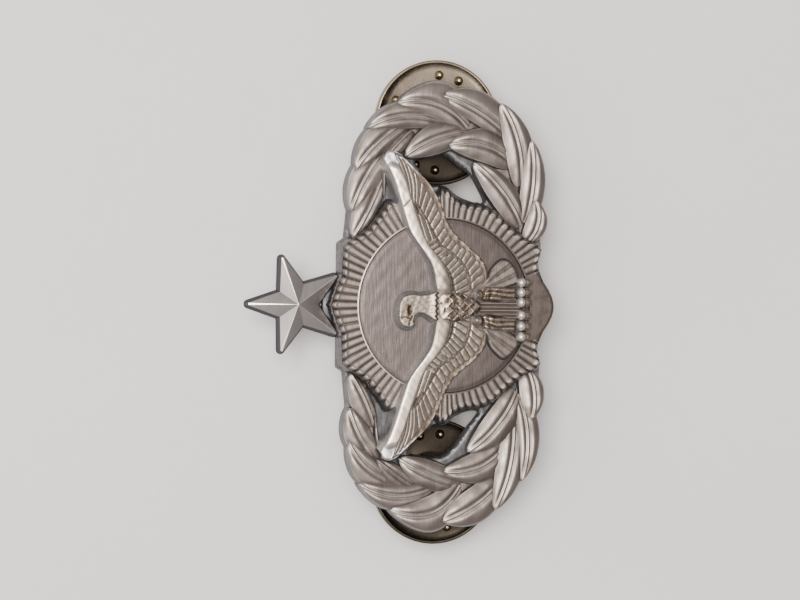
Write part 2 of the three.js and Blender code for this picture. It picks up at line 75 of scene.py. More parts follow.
def along(points, t):
    """Points on a smooth curve through the given points, t running from 0 to 1, evenly by point."""
    p = np.asarray(points, float)
    p = np.concatenate([[2 * p[0] - p[1]], p, [2 * p[-1] - p[-2]]])
    x = np.clip(np.asarray(t, float), 0, 1) * (len(p) - 3)
    i = np.minimum(x.astype(int), len(p) - 4)
    u = (x - i).reshape(-1, *[1] * (p.ndim - 1))
    a, b, c, d = (p[i + k] for k in range(4))
    return 0.5 * (2 * b + (c - a) * u + (2 * a - 5 * b + 4 * c - d) * u**2 + (3 * b - a - 3 * c + d) * u**3)


def even(points, count, closed=False):
    """Evenly spaced points along a smooth curve through the given points."""
    p = np.asarray(points, float)
    if closed:
        p = np.vstack([p, p[:1]])
    dense = along(p, np.linspace(0, 1, 40 * len(p)))
    steps = np.r_[0, np.cumsum(np.linalg.norm(np.diff(dense, axis=0), axis=1))]
    wanted = np.linspace(0, steps[-1], count + 1)[:-1] if closed else np.linspace(0, steps[-1], count)
    return np.stack([np.interp(wanted, steps, dense[:, k]) for k in range(p.shape[1])], axis=1)


def mirrored(points):
    return [(-x, y) for x, y in reversed(points)]


def inside_distance(x, y, polygon):
    """Distance to a closed outline, positive inside it."""
    p = np.asarray(polygon, float)
    nearest = np.full(np.shape(x), 1e9)
    crossed = np.zeros(np.shape(x), bool)
    for (ax, ay), (bx, by) in zip(p, np.roll(p, -1, axis=0)):
        dx, dy = bx - ax, by - ay
        t = np.clip(((x - ax) * dx + (y - ay) * dy) / (dx * dx + dy * dy + 1e-12), 0, 1)
        nearest = np.minimum(nearest, (x - ax - t * dx) ** 2 + (y - ay - t * dy) ** 2)
        if ay != by:
            crossed ^= ((ay > y) != (by > y)) & (x < ax + (y - ay) * dx / dy)
    return np.sqrt(nearest) * np.where(crossed, 1, -1)


def line_distance(x, y, points):
    """Distance to an open line."""
    p = np.asarray(points, float)
    nearest = np.full(np.shape(x), 1e9)
    for (ax, ay), (bx, by) in zip(p[:-1], p[1:]):
        dx, dy = bx - ax, by - ay
        t = np.clip(((x - ax) * dx + (y - ay) * dy) / (dx * dx + dy * dy), 0, 1)
        nearest = np.minimum(nearest, (x - ax - t * dx) ** 2 + (y - ay - t * dy) ** 2)
    return np.sqrt(nearest)


def rounded_edge(distance, radius):
    """Quarter-round profile: 0 at the edge and 1 from one radius inside."""
    t = np.clip(distance / radius, 0, 1)
    return np.sqrt(np.clip(1 - (1 - t) ** 2, 0, 1))


def bell(distance, width):
    """A bell curve: 1 at no distance, falling away over the width."""
    return np.exp(-((distance / width) ** 2))


def headings(line):
    """Unit vectors along a line of points."""
    ahead = np.gradient(line, axis=0)
    return ahead / np.linalg.norm(ahead, axis=1)[:, None]


def leftward(ahead):
    return np.stack([-ahead[:, 1], ahead[:, 0]], axis=1)


def round_angles(count):
    return np.linspace(0, 2 * math.pi, count, endpoint=False)


def rough(x, y, scale, seed):
    """Smooth random bumps between about -1 and 1, as a sum of a few slanted waves."""
    waves = np.random.default_rng(seed)
    total = 0
    for _ in range(7):
        angle, phase = waves.uniform(0, 2 * math.pi, 2)
        k = 2 * math.pi / (scale * waves.uniform(0.6, 1.6))
        total = total + np.sin(k * (x * math.cos(angle) + y * math.sin(angle)) + phase)
    return total / 4


# ---- meshes -------------------------------------------------------------------
def link(name, data):
    """An object in the scene that shows the data."""
    obj = bpy.data.objects.new(name, data)
    bpy.context.scene.collection.objects.link(obj)
    return obj


def badge_mesh(name, points, faces):
    """A mesh from millimetre points in the badge's own frame."""
    mesh = bpy.data.meshes.new(name)
    mesh.from_pydata(((np.asarray(points) + ORIGIN) * MM).tolist(), [], faces)
    return mesh


def add_piece(name, shape, material, node, body="badge", tints=None, sharp=38):
    """A visible piece from (points, faces) that stands for a node and takes its finish from a slot.

    It rides a body. Tints are numbers per point that the material reads, and edges bent by more than
    sharp degrees stay crisp.
    """
    mesh = badge_mesh(name, *shape)
    mesh.validate(verbose=False)
    for key, values in (tints or {}).items():
        layer = mesh.attributes.new(key, "FLOAT", "POINT")
        layer.data.foreach_set("value", np.asarray(values, np.float32).ravel())
    mesh.polygons.foreach_set("use_smooth", [True] * len(mesh.polygons))
    mesh.set_sharp_from_angle(angle=math.radians(sharp))
    mesh.materials.append(material)
    piece = link(name, mesh)
    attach(piece, body)
    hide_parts(node)
    return piece


def joined(tints):
    """Tints of several parts in one row."""
    return np.concatenate([tint.ravel() for tint in tints])


def grid_quads(index):
    """Corner numbers of the quads between the rows and columns of a grid of point numbers."""
    return np.stack([index[:-1, :-1], index[1:, :-1], index[1:, 1:], index[:-1, 1:]], axis=-1)


def facing_up(points, quads):
    """True if most of a sheet's area has its front upward."""
    a, b, c = (points[quads[:, k]] for k in range(3))
    return np.cross(b - a, c - a)[:, 2].sum() > 0


def closed_sheet(grid):
    """Points and faces of a sheet, given as rows of points whose two ends lie low, closed underneath."""
    n, m = grid.shape[:2]
    points = grid.reshape(-1, 3)
    index = np.arange(n * m).reshape(n, m)
    quads = grid_quads(index).reshape(-1, 4)
    under = np.stack([index[:-1, -1], index[1:, -1], index[1:, 0], index[:-1, 0]], axis=-1)
    faces = np.vstack([quads, under])
    ends = [index[0].tolist(), index[-1][::-1].tolist()]
    if not facing_up(points, quads):
        faces = faces[:, ::-1]
        ends = [end[::-1] for end in ends]
    return points, faces.tolist() + ends


def ring_surface(rings, loops=True):
    """Faces joining rings of points; with loops, the last ring joins the first again."""
    n, m = rings.shape[:2]
    index = np.arange(n * m).reshape(n, m)
    wrapped = np.roll(index, -1, axis=1)
    if loops:
        rows = (index, wrapped, np.roll(wrapped, -1, axis=0), np.roll(index, -1, axis=0))
    else:
        rows = (index[:-1], wrapped[:-1], wrapped[1:], index[1:])
    return np.stack(rows, axis=-1).reshape(-1, 4)


def capped_tube(rings):
    """Faces of a tube of rings of points, with a flat face at each end."""
    n, m = rings.shape[:2]
    caps = [list(range(m))[::-1], list(range((n - 1) * m, n * m))]
    return ring_surface(rings, loops=False).tolist() + caps


def turned(profile, centre, segments=96):
    """Points and faces of a closed (radius, height) profile turned about a vertical axis."""
    angle = round_angles(segments)
    r, z = np.asarray(profile, float).T
    x, y = centre[0] + r[:, None] * np.cos(angle), centre[1] + r[:, None] * np.sin(angle)
    rings = np.stack([x, y, np.repeat(z[:, None], segments, axis=1)], axis=-1)
    return rings.reshape(-1, 3), ring_surface(rings).tolist()


def merged(parts):
    """Several (points, faces) joined into one."""
    points, faces = [], []
    for part_points, part_faces in parts:
        base = sum(map(len, points))
        faces += [[base + i for i in face] for face in part_faces]
        points.append(np.asarray(part_points))
    return np.vstack(points), faces


def relief(field, height, box, low, pitch, draft):
    """A solid whose outline is where field is 0: (points, faces, field at the points).

    field(x, y) is positive inside. height(x, y, field) gives the top. The wall runs down to low and
    leans outward by draft.
    """
    x0, x1, y0, y1 = box
    x, y = np.meshgrid(np.arange(x0, x1 + pitch, pitch), np.arange(y0, y1 + pitch, pitch), indexing="ij")
    value = field(x, y)
    near = value > -0.45 * pitch
    keep = near[:-1, :-1] & near[1:, :-1] & near[1:, 1:] & near[:-1, 1:]
    index = np.arange(x.size).reshape(x.shape)
    quads = grid_quads(index)[keep]
    used, quads = np.unique(quads, return_inverse=True)
    quads = quads.reshape(-1, 4)
    px, py = x.ravel()[used], y.ravel()[used]
    edges = np.concatenate([quads[:, [k, (k + 1) % 4]] for k in range(4)])
    code = edges[:, 0] * len(used) + edges[:, 1]
    back = edges[:, 1] * len(used) + edges[:, 0]
    rim = edges[~np.isin(code, back)]
    on_rim = np.unique(rim)
    # Move the rim's points onto the outline.
    step = 0.02
    for _ in range(4):
        bx, by = px[on_rim], py[on_rim]
        f = field(bx, by)
        gx = (field(bx + step, by) - field(bx - step, by)) / (2 * step)
        gy = (field(bx, by + step) - field(bx, by - step)) / (2 * step)
        move = np.clip(f / np.maximum(gx**2 + gy**2, 0.25), -0.4 * pitch, 0.4 * pitch)
        px[on_rim] -= move * gx
        py[on_rim] -= move * gy
    value = field(px, py)
    value[on_rim] = 0
    pz = height(px, py, value)
    length = np.maximum(np.hypot(gx, gy), 0.3)
    count = len(used)
    bottom = np.stack([px, py, np.full(count, float(low))], axis=1)
    bottom[on_rim, 0] -= draft * gx / length
    bottom[on_rim, 1] -= draft * gy / length
    points = np.vstack([np.stack([px, py, pz], axis=1), bottom])
    walls = [[b, a, a + count, b + count] for a, b in rim.tolist()]
    faces = quads.tolist() + (quads[:, ::-1] + count).tolist() + walls
    return points, faces, np.r_[value, value]


# ---- materials ----------------------------------------------------------------
class Nodes:
    """A short way to write a material's nodes."""

    def __init__(self, name):
        self.material = bpy.data.materials.new(name)
        self.material.use_nodes = True
        self.tree = self.material.node_tree
        self.shader = self.tree.nodes["Principled BSDF"]

    def add(self, kind, inputs=(), **settings):
        node = self.tree.nodes.new(f"ShaderNode{kind}")
        for key, value in settings.items():
            setattr(node, key, value)
        for key, value in dict(inputs).items():
            self.feed(node.inputs[key], value)
        return node

    def feed(self, socket, value):
        if isinstance(value, bpy.types.NodeSocket):
            self.tree.links.new(value, socket)
        else:
            socket.default_value = value

    def math(self, operation, a, b=0.0, clamp=False):
        return self.add("Math", {0: a, 1: b}, operation=operation, use_clamp=clamp).outputs[0]

    def noise(self, scale, stretch=(1, 1, 1), detail=4.0, rough=0.55):
        where = self.add("TexCoord").outputs["Object"]
        place = self.add("Mapping", {"Vector": where, "Scale": [s * scale / MM for s in stretch]})
        inputs = {"Vector": place.outputs[0], "Scale": 1.0, "Detail": detail, "Roughness": rough}
        return self.add("TexNoise", inputs).outputs["Fac"]

    def number(self, name):
        return self.add("Attribute", attribute_name=name).outputs["Fac"]

    def spread(self, value, low, high, to_low=0.0, to_high=1.0):
        return self.add("MapRange", {0: value, 1: low, 2: high, 3: to_low, 4: to_high}).outputs[0]

    def mix(self, factor, a, b):
        node = self.add("Mix", data_type="RGBA")
        self.feed(node.inputs[0], factor)
        self.feed(node.inputs[6], a)
        self.feed(node.inputs[7], b)
        return node.outputs[2]

    def bumps(self, *layers):
        """layers of (height, distance in mm), one over another."""
        normal = None
        for height, distance in layers:
            node = self.add("Bump", {"Height": height, "Distance": distance * MM, "Strength": 1.0})
            if normal is not None:
                self.feed(node.inputs["Normal"], normal)
            normal = node.outputs[0]
        self.feed(self.shader.inputs["Normal"], normal)


def colour(r, g, b):
    return (r, g, b, 1.0)


def darker(tint, share):
    return colour(*(c * share for c in tint[:3]))


def antiqued(
    name, base, light, dark, side=(0.13, 0.136, 0.146),
    brushing=1.0, darkening=0.5, polish=0.4, pits=0.0, recess=0.75,
):
    """Worn silver over dark tarnish: brushed along X, dark in the recesses, bright on the high spots.

    The dark in the recesses is tarnish that gathers in corners and also painted shade, from an ambient
    occlusion node. side is the colour of steep walls, darkening, pits and recess are how much the dark
    gathers in blotches, in small holes and in corners, and polish is the roughness of the bare metal.
    """
    m = Nodes(name)
    strokes = m.noise(1.0, (0.35, 5.0, 1.0), 5.0, 0.62)
    fine = m.noise(1.0, (1.2, 16.0, 4.0), 3.0, 0.6)
    cloud = m.noise(0.35, (1, 1, 1), 3.0)
    blotch = m.noise(1.1, (1, 1, 1), 5.0, 0.68)
    # The ambient occlusion node darkens corners and creases: tarnish that gathers there and painted shade
    # where parts crowd together.
    crevice = m.add("AmbientOcclusion", {"Distance": 0.55 * MM}, samples=8).outputs["AO"]
    recess_tarnish_and_shade = m.spread(crevice, 0.35, 0.95, 1.0, 0.0)
    patina_and_shade = m.math("MAXIMUM", m.number("patina_and_shade"), m.math("MULTIPLY", recess_tarnish_and_shade, recess))
    patina_and_shade = m.math("ADD", patina_and_shade, m.math("MULTIPLY", m.spread(blotch, 0.45, 0.75), darkening * 0.35), clamp=True)
    if pits:
        pit = m.spread(m.noise(3.4, (1, 1, 1), 3.0, 0.7), 0.66, 0.74)
        patina_and_shade = m.math("MAXIMUM", patina_and_shade, m.math("MULTIPLY", pit, pits))
    worn_and_highlit = m.math("MULTIPLY", m.number("worn_and_highlit"), m.spread(blotch, 0.25, 0.6, 0.45, 1.0), clamp=True)
    body = m.mix(m.spread(strokes, 0.3, 0.7), base, darker(base, 0.84))
    body = m.mix(m.math("MULTIPLY", m.spread(cloud, 0.35, 0.7), 0.35), body, darker(base, 0.78))
    body = m.mix(worn_and_highlit, body, light)
    slope = m.add("SeparateXYZ", {0: m.add("NewGeometry").outputs["True Normal"]}).outputs["Z"]
    wall = m.spread(m.math("ABSOLUTE", slope), 0.3, 0.65, 0.9, 0.0)
    wall = m.math("MAXIMUM", wall, m.math("MULTIPLY", m.number("bare"), 0.8))
    body = m.mix(wall, body, colour(*side))
    body = m.mix(m.math("MULTIPLY", patina_and_shade, m.spread(wall, 0, 0.8, 1.0, 0.1)), body, dark)
    m.feed(m.shader.inputs["Base Color"], body)
    m.shader.inputs["Metallic"].default_value = 1.0
    gloss = m.spread(strokes, 0.25, 0.75, polish - 0.06, polish + 0.1)
    gloss = m.math("ADD", gloss, m.math("MULTIPLY", patina_and_shade, 0.22))
    gloss = m.math("ADD", gloss, m.math("MULTIPLY", worn_and_highlit, 0.06))
    m.feed(m.shader.inputs["Roughness"], gloss)
    m.bumps((strokes, 0.012 * brushing), (fine, 0.006 * brushing), (blotch, 0.01))
    return m.material


def tarnished(name, base, bright, dark, roughness=0.35):
    """Old brass: brown tarnish in clouds, bright where it rubs, and painted shade where it lies under or
    close to other parts.
    """
    m = Nodes(name)
    cloud = m.noise(0.5, (1, 1, 1), 5.0, 0.6)
    fine = m.noise(6.0, (1, 1, 1), 3.0)
    body = m.mix(m.spread(cloud, 0.35, 0.7), base, dark)
    rubbed = m.number("worn_and_highlit")
    body = m.mix(rubbed, body, bright)
    # An ambient occlusion node with a 3 mm reach darkens the brass under and beside the badge: painted shade.
    crevice = m.add("AmbientOcclusion", {"Distance": 3 * MM}, samples=8).outputs["AO"]
    darkening = m.math("MAXIMUM", m.spread(crevice, 0.2, 0.7, 0.9, 0.0), m.number("patina_and_shade"))
    darkening = m.math("MULTIPLY", darkening, m.spread(rubbed, 0.0, 1.0, 1.0, 0.25))
    body = m.mix(darkening, body, darker(dark, 0.14))
    m.feed(m.shader.inputs["Base Color"], body)
    m.shader.inputs["Metallic"].default_value = 1.0
    m.feed(m.shader.inputs["Roughness"], m.spread(fine, 0.3, 0.7, roughness - 0.06, roughness + 0.12))
    m.bumps((cloud, 0.02), (fine, 0.004))
    return m.material


PEWTER = antiqued(
    "antiqued_pewter", colour(0.325, 0.27, 0.238), colour(0.86, 0.76, 0.69), colour(0.088, 0.07, 0.06),
    darkening=0.7, recess=0.6,
)
DISC_METAL = antiqued(
    "brushed_disc", colour(0.126, 0.102, 0.094), colour(0.60, 0.52, 0.47), colour(0.085, 0.067, 0.06),
    brushing=1.4, darkening=0.9, recess=0.3,
)
EAGLE_METAL = antiqued(
    "worn_silver", colour(0.315, 0.25, 0.198), colour(0.94, 0.79, 0.66), colour(0.085, 0.056, 0.04),
    side=(0.62, 0.635, 0.66), brushing=0.7, darkening=0.8, polish=0.36, pits=0.8,
)
PLATE_METAL = antiqued(
    "dark_ground", colour(0.17, 0.163, 0.163), colour(0.45, 0.45, 0.45), colour(0.055, 0.05, 0.05),
    brushing=0.5, darkening=0.6, polish=0.45,
)
# The star's steep walls take a near-black side colour: painted shade round the star's outline.
STAR_METAL = antiqued(
    "bright_pewter", colour(0.54, 0.475, 0.445), colour(0.9, 0.82, 0.77), colour(0.10, 0.085, 0.08),
    side=(0.09, 0.095, 0.105), brushing=0.6, darkening=0.4, polish=0.3, pits=0.4,
)
# The star's steep walls stay dark at grazing angles.
STAR_METAL.node_tree.nodes["Principled BSDF"].inputs["Specular Tint"].default_value = colour(0.3, 0.31, 0.33)
BRASS = tarnished(
    "tarnished_brass", colour(0.265, 0.213, 0.163), colour(0.95, 0.72, 0.36), colour(0.16, 0.128, 0.093)
)
POST_METAL = tarnished(
    "post_brass", colour(0.62, 0.50, 0.30), colour(0.9, 0.75, 0.45), colour(0.30, 0.23, 0.12), 0.28
)
SOLDER = tarnished("solder", colour(0.42, 0.41, 0.40), colour(0.7, 0.7, 0.7), colour(0.2, 0.19, 0.18), 0.4)
SPRING_METAL = tarnished(
    "spring_wire", colour(0.5, 0.49, 0.47), colour(0.8, 0.8, 0.8), colour(0.3, 0.28, 0.25), 0.25
)


# ---- wreath -------------------------------------------------------------------
# Each leaf: base, tip, how far the vein bows to the left of base-to-tip, and the widths of its left
# and right halves. Each branch is listed from its free end to its stem end, and each tip lies over
# the bases of the ones before.
LEFT_LEAVES = [
    ((-13.4, 5.7), (-10.0, 6.2), 0.1, 0.2, 0.2),
    ((-10.9, 6.2), (-6.2, 8.5), -0.2, 1.35, 0.6),
    ((-14.1, 6.0), (-9.3, 8.6), 0.3, 1.4, 1.05),
    ((-16.8, 2.1), (-14.0, 6.0), 0.05, 1.1, 0.8),
    ((-16.2, 3.6), (-12.4, 8.6), 0.8, 1.45, 1.15),
    ((-16.3, -1.8), (-13.9, 4.0), 0.3, 1.25, 1.3),
    ((-16.6, 0.8), (-16.2, 7.6), 0.95, 1.2, 1.1),
    ((-16.4, -1.8), (-18.6, 4.7), 1.45, 1.65, 1.5),
    ((-12.9, -5.9), (-15.1, -0.2), 0.8, 1.35, 1.4),
    ((-16.2, -5.4), (-19.6, -0.1), 0.4, 1.6, 1.5),
    ((-7.8, -7.0), (-13.3, -2.4), 0.55, 1.4, 1.35),
    ((-10.7, -6.8), (-18.6, -5.0), 0.5, 1.3, 1.3),
    ((-8.0, -7.2), (-16.0, -7.5), 0.7, 1.1, 0.95),
    ((-5.8, -8.1), (-10.3, -8.4), 0.4, 0.9, 1.35),
]
RIGHT_LEAVES = [
    ((14.1, 5.6), (9.8, 5.6), 0.0, 0.3, 0.25),
    ((11.9, 5.6), (6.1, 8.4), 0.2, 0.75, 1.5),
    ((14.1, 5.5), (8.5, 8.6), -0.3, 1.3, 1.4),
    ((16.0, 3.0), (13.4, 5.5), -0.1, 0.85, 0.45),
    ((16.7, 3.5), (12.3, 8.2), -0.4, 1.05, 1.45),
    ((16.0, -2.2), (13.6, 3.7), -0.4, 1.35, 1.35),
    ((16.8, 0.4), (16.1, 7.1), -0.75, 1.1, 1.35),
    ((16.3, -2.2), (18.4, 4.4), -1.1, 1.3, 2.0),
    ((13.3, -6.3), (14.7, -0.4), -0.75, 1.5, 1.5),
    ((15.7, -5.9), (19.2, 0.5), -0.5, 1.1, 1.75),
    ((7.5, -7.3), (13.1, -2.7), -0.5, 1.4, 1.1),
    ((11.1, -7.3), (18.6, -5.2), -0.65, 1.35, 1.25),
    ((7.7, -7.7), (15.3, -8.1), -0.45, 1.15, 1.1),
    ((5.8, -7.8), (9.8, -8.6), -0.65, 1.15, 0.85),
]
LEAF_BASE_Z = 1.05
LEAF_TIP_Z = 1.5
LEAF_FOOT_Z = 0.5


def leaf_swell(s):
    """Share of a leaf's full width at a share s of its length: broad at the base, pointed at the tip."""
    toward_tip = np.clip((s - 0.45) / 0.55, 0, 1)
    toward_base = np.clip((0.45 - s) / 0.5, 0, 1)
    return (1 - toward_tip**2) ** 0.8 * (1 - toward_base**2.5) ** 0.6


def leaf_frame(leaf):
    (bx, by), (tx, ty), bow, left, right = leaf
    length = math.hypot(tx - bx, ty - by)
    return np.array([bx, by]), np.array([tx - bx, ty - by]) / length, length, bow, left, right


def leaf_field(leaf, x, y):
    """Roughly the distance inside a leaf's edge."""
    base, forward, length, bow, left, right = leaf_frame(leaf)
    rx, ry = x - base[0], y - base[1]
    s = (rx * forward[0] + ry * forward[1]) / length
    off = -rx * forward[1] + ry * forward[0] - 4 * bow * s * (1 - s)
    width = np.where(off > 0, left, right) * leaf_swell(s)
    beyond = np.maximum(np.maximum(-s, s - 1), 0) * length
    return width - np.hypot(off, beyond)


def leaf_sheet(leaf, lift):
    """A leaf's rows of points, with how dark and how worn each is."""
    base, forward, length, bow, left, right = leaf_frame(leaf)
    sideways = np.array([-forward[1], forward[0]])
    s = (1 - np.cos(math.pi * np.linspace(0.03, 1, 80))) / 2
    half = np.linspace(0, 1, 22) ** 1.15
    half = np.sin(math.pi / 2 * half) * 0.6 + half * 0.4
    u = np.r_[-half[::-1], half[1:]]
    s, u = s[:, None], u[None, :]
    swell = leaf_swell(s) + 0.07 * rounded_edge(1 - s, 0.04)
    offset = u * np.where(u > 0, left, right) * swell
    vein = 4 * bow * s * (1 - s)
    d = np.abs(offset)
    share = np.abs(u)
    fade = np.clip(1.25 * np.sin(math.pi * np.clip(s * 0.88 + 0.1, 0, 1)) ** 0.6, 0, 1)
    z = LEAF_BASE_Z + lift + (LEAF_TIP_Z - LEAF_BASE_Z) * s**1.2 + 0.1 * np.sin(math.pi * s)
    # Rounded across, with a groove along the middle, a thin vein in it and an edge that falls away.
    z = z + 0.42 * (1 - share**2.2) * fade - 0.26 * bell(d, 0.34) * fade
    z = z + 0.17 * bell(d, 0.12) * fade
    z = z - 0.16 * smoothstep(0.95, 1.0, share) - 0.1 * smoothstep(0.96, 1.0, s)
    z = z + 0.012 * rough(base[0] + s * 9, offset * 3 + base[1], 2.2, 17)
    worn_and_highlit = 0.8 * bell(d, 0.1) * fade + 0.5 * bell(share - 0.95, 0.05)
    worn_and_highlit = worn_and_highlit + 0.4 * smoothstep(0.86, 0.97, s)
    mottle = smoothstep(-0.2, 0.9, rough(base[0] + s * 5, offset + base[1], 1.6, 18))
    patina_and_shade = 0.3 * bell(d - 0.25, 0.12) * fade + 0.3 * mottle + 0.25 * smoothstep(0.5, 0.0, s)
    # Rows of points over the leaf, each with a foot on both sides that reaches down into the ground.
    rows = base + forward * (s * length)[..., None] + sideways * (vein + offset)[..., None]
    grid = np.concatenate([rows, (z + 0 * offset)[..., None]], axis=-1)
    feet = [grid[:, :1].copy(), grid[:, -1:].copy()]
    for foot, way in zip(feet, (-1, 1)):
        foot[..., :2] += way * sideways * 0.12
        foot[..., 2] = LEAF_FOOT_Z
    grid = np.concatenate([feet[0], grid, feet[1]], axis=1)
    pad = ((0, 0), (1, 1))
    return grid, np.pad(patina_and_shade + 0 * offset, pad, constant_values=0.3), np.pad(worn_and_highlit + 0 * offset, pad)


BRANCH_SPINE = [
    (6.4, 7.7, 0.8), (10.5, 7.3, 1.0), (13.5, 6.4, 1.3), (16.2, 4.2, 1.6), (17.5, 0.7, 2.2),
    (16.8, -2.9, 2.3), (14.5, -5.6, 2.1), (10.6, -7.5, 1.6), (6.5, -8.1, 1.0),
]


def branch_ground(sign):
    """The low band under a branch's leaves."""
    spine = along(BRANCH_SPINE, np.linspace(0, 1, 120)) * (sign, 1, 1)
    side = leftward(headings(spine[:, :2]))
    v = np.linspace(-1, 1, 24)
    rows = spine[:, None, :2] + side[:, None] * (v[None, :, None] * (spine[:, None, 2:] - 0.15))
    z = PLATE_TOP + 0.2 + 0.12 * rough(rows[..., 0], rows[..., 1], 1.6, 3)
    z[:, [0, -1]] = PLATE_TOP - 0.2
    return np.concatenate([rows, z[..., None]], axis=-1)


def wreath_branch(name, leaves, sign):
    """The leaves over their ground; each leaf is darker where a later leaf lies over it, as tarnish in the
    crease and as painted shade under the upper leaf's edge.
    """
    ground = branch_ground(sign)
    parts = [closed_sheet(ground)]
    patina_and_shade, worn_and_highlit = [np.full(ground.shape[:2], 0.75)], [np.zeros(ground.shape[:2])]
    for k, leaf in enumerate(leaves):
        grid, dark, bright = leaf_sheet(leaf, 0.012 * k)
        for other in leaves[k + 1 :]:
            gap = -leaf_field(other, grid[..., 0], grid[..., 1])
            dark = np.maximum(dark, 0.65 * (1 - smoothstep(0.0, 0.4, gap)))
        parts.append(closed_sheet(grid))
        patina_and_shade.append(dark)
        worn_and_highlit.append(bright)
    tints = {"patina_and_shade": joined(patina_and_shade), "worn_and_highlit": joined(worn_and_highlit)}
    add_piece(name, merged(parts), PEWTER, name.replace("leaves_", "wreath_branch_"), tints=tints)


wreath_branch("leaves_left", LEFT_LEAVES, -1)
wreath_branch("leaves_right", RIGHT_LEAVES, 1)

# ---- sunburst shield ----------------------------------------------------------
# Right half of the outline of the ribs' ends, from the top peak to the bottom tip.
SHIELD_EDGE = [
    (0, 10.45), (1.2, 10.05), (2.7, 9.45), (4.2, 9.4), (5.3, 9.35), (5.8, 8.8), (6.3, 7.9), (7.0, 7.0),
    (8.3, 6.0), (9.5, 5.2), (9.3, 4.0), (9.0, 2.6), (9.5, 1.0), (10.7, 0.35), (10.6, -0.2), (9.7, -1.0),
    (9.35, -2.0), (9.2, -3.5), (8.6, -4.8), (7.2, -6.3), (6.2, -7.6), (5.75, -8.7), (5.2, -9.1),
    (4.5, -8.9), (3.9, -8.75), (3.0, -8.95), (2.3, -9.25), (1.6, -9.72), (0.9, -10.08), (0.35, -10.22),
    (0, -10.25),
]
RING_R = 8.05
RIB_PITCH = 0.8
RIB_NOSE = 0.30  # how far a rib's round end reaches past the notch beside it
PLAIN_LENGTH = 3.4  # how much of the edge by the bottom tip has no ribs, on each side
SHIELD_FOOT_Z = 0.3


def shield_ribs():
    """Outer points of the shield, all the way round, with the rib that each belongs to.

    Returns points, a position within each rib from 0 to 1, and how ribbed each place is.
    """
    half = np.asarray(SHIELD_EDGE)
    steps = np.r_[0, np.cumsum(np.linalg.norm(np.diff(half, axis=0), axis=1))]
    wanted = np.arange(0, steps[-1], 0.045)
    right = np.stack([np.interp(wanted, steps, half[:, k]) for k in range(2)], axis=1)
    closer = 1 + 0.28 * bell(right[:, 1] - 1.0, 3.4) * (right[:, 0] > 6)
    phase = np.cumsum(np.gradient(wanted) / RIB_PITCH * closer)
    phase += 0.5 - phase[0]
    plain_from = steps[-1] - PLAIN_LENGTH
    ribbed = 1 - smoothstep(plain_from - 0.3, plain_from, wanted)
    left = right[::-1] * (-1, 1)
    points = np.vstack([right, left[:-1]])
    phase = np.r_[phase, phase[::-1][:-1]]
    ribbed = np.r_[ribbed, ribbed[::-1][:-1]]
    return points, phase % 1, ribbed


def sunburst():
    """Rings of points from the foot of the inner edge over the ribs to the foot of the outer wall."""
    outer, phase, ribbed = shield_ribs()
    angle = np.arctan2(outer[:, 0], outer[:, 1])
    reach = np.hypot(outer[:, 0], outer[:, 1])
    round_rib = 1 - np.abs(2 * phase - 1) ** 3
    nose = RIB_NOSE * np.sqrt(np.clip(1 - np.abs(2 * phase - 1) ** 2, 0, 1)) * ribbed
    nose = nose + RIB_NOSE * (1 - ribbed)
    direction = np.stack([np.sin(angle), np.cos(angle)], axis=1)

    def row(radius, z):
        radius, z = np.broadcast_to(radius, angle.shape), np.broadcast_to(z, angle.shape)
        return np.c_[direction * radius[:, None], z]

    inner = [(RING_R - 0.2, SHIELD_FOOT_Z), (RING_R - 0.2, DISC_TOP)]
    head = [(RING_R - 0.14, RIB_CREST), (RING_R - 0.06, RIB_CREST + 0.05), (RING_R + 0.02, RIB_CREST + 0.02)]
    rows = [row(r, z) for r, z in inner + head]
    tip = reach - RIB_NOSE + nose
    span = np.linspace(0, 1, 30)
    for q in span:
        r = RING_R + (tip - RING_R) * q
        from_tip = tip - r
        z = RIB_CREST - 0.1 * q - 0.12 * ribbed * (1 - round_rib)
        bead = 0.10 * bell(from_tip - 0.32, 0.18) * ribbed
        z = z + bead * round_rib
        z = z - 0.45 * (1 - rounded_edge(from_tip, 0.34)) * (0.55 + 0.45 * ribbed)
        rows.append(row(r, z))
    shoulder = np.maximum(reach - 0.05, tip)
    top = SHIELD_WALL_TOP
    rows.append(row(shoulder, np.minimum(rows[-1][:, 2] - 0.05, top + 0.12)))
    wall = [(0.02, top + 0.02), (0.10, top - 0.10), (0.24, 1.0), (0.34, SHIELD_FOOT_Z)]
    rings = np.stack(rows + [row(shoulder + lean, z) for lean, z in wall])

    patina_and_shade = np.zeros(rings.shape[:2])
    worn_and_highlit = np.zeros(rings.shape[:2])
    first = len(inner) + len(head)
    ribs = slice(first, first + len(span))
    patina_and_shade[ribs] = 0.52 + 0.18 * (1 - smoothstep(0.0, 0.35, round_rib)) * ribbed + 0.28 * (1 - ribbed)
    # The ribs' beads and the lip round the disc are painted brighter toward +Y, the side the light comes
    # from: a painted highlight.
    toward_light = smoothstep(-6, 6, outer[:, 1])
    worn_and_highlit[ribs] = 0.15 * smoothstep(0.93, 1, round_rib) * ribbed
    worn_and_highlit[ribs] += 0.75 * bell(span[:, None] - 0.84, 0.1) * (round_rib * ribbed * (0.25 + 0.75 * toward_light))
    worn_and_highlit[len(inner) : first] = 0.5 * toward_light
    shape = rings.reshape(-1, 3), ring_surface(rings)[:, ::-1].tolist()
    tints = {"patina_and_shade": patina_and_shade, "worn_and_highlit": worn_and_highlit}
    add_piece("sunburst", shape, PEWTER, "sunburst_shield", tints=tints, sharp=50)


sunburst()


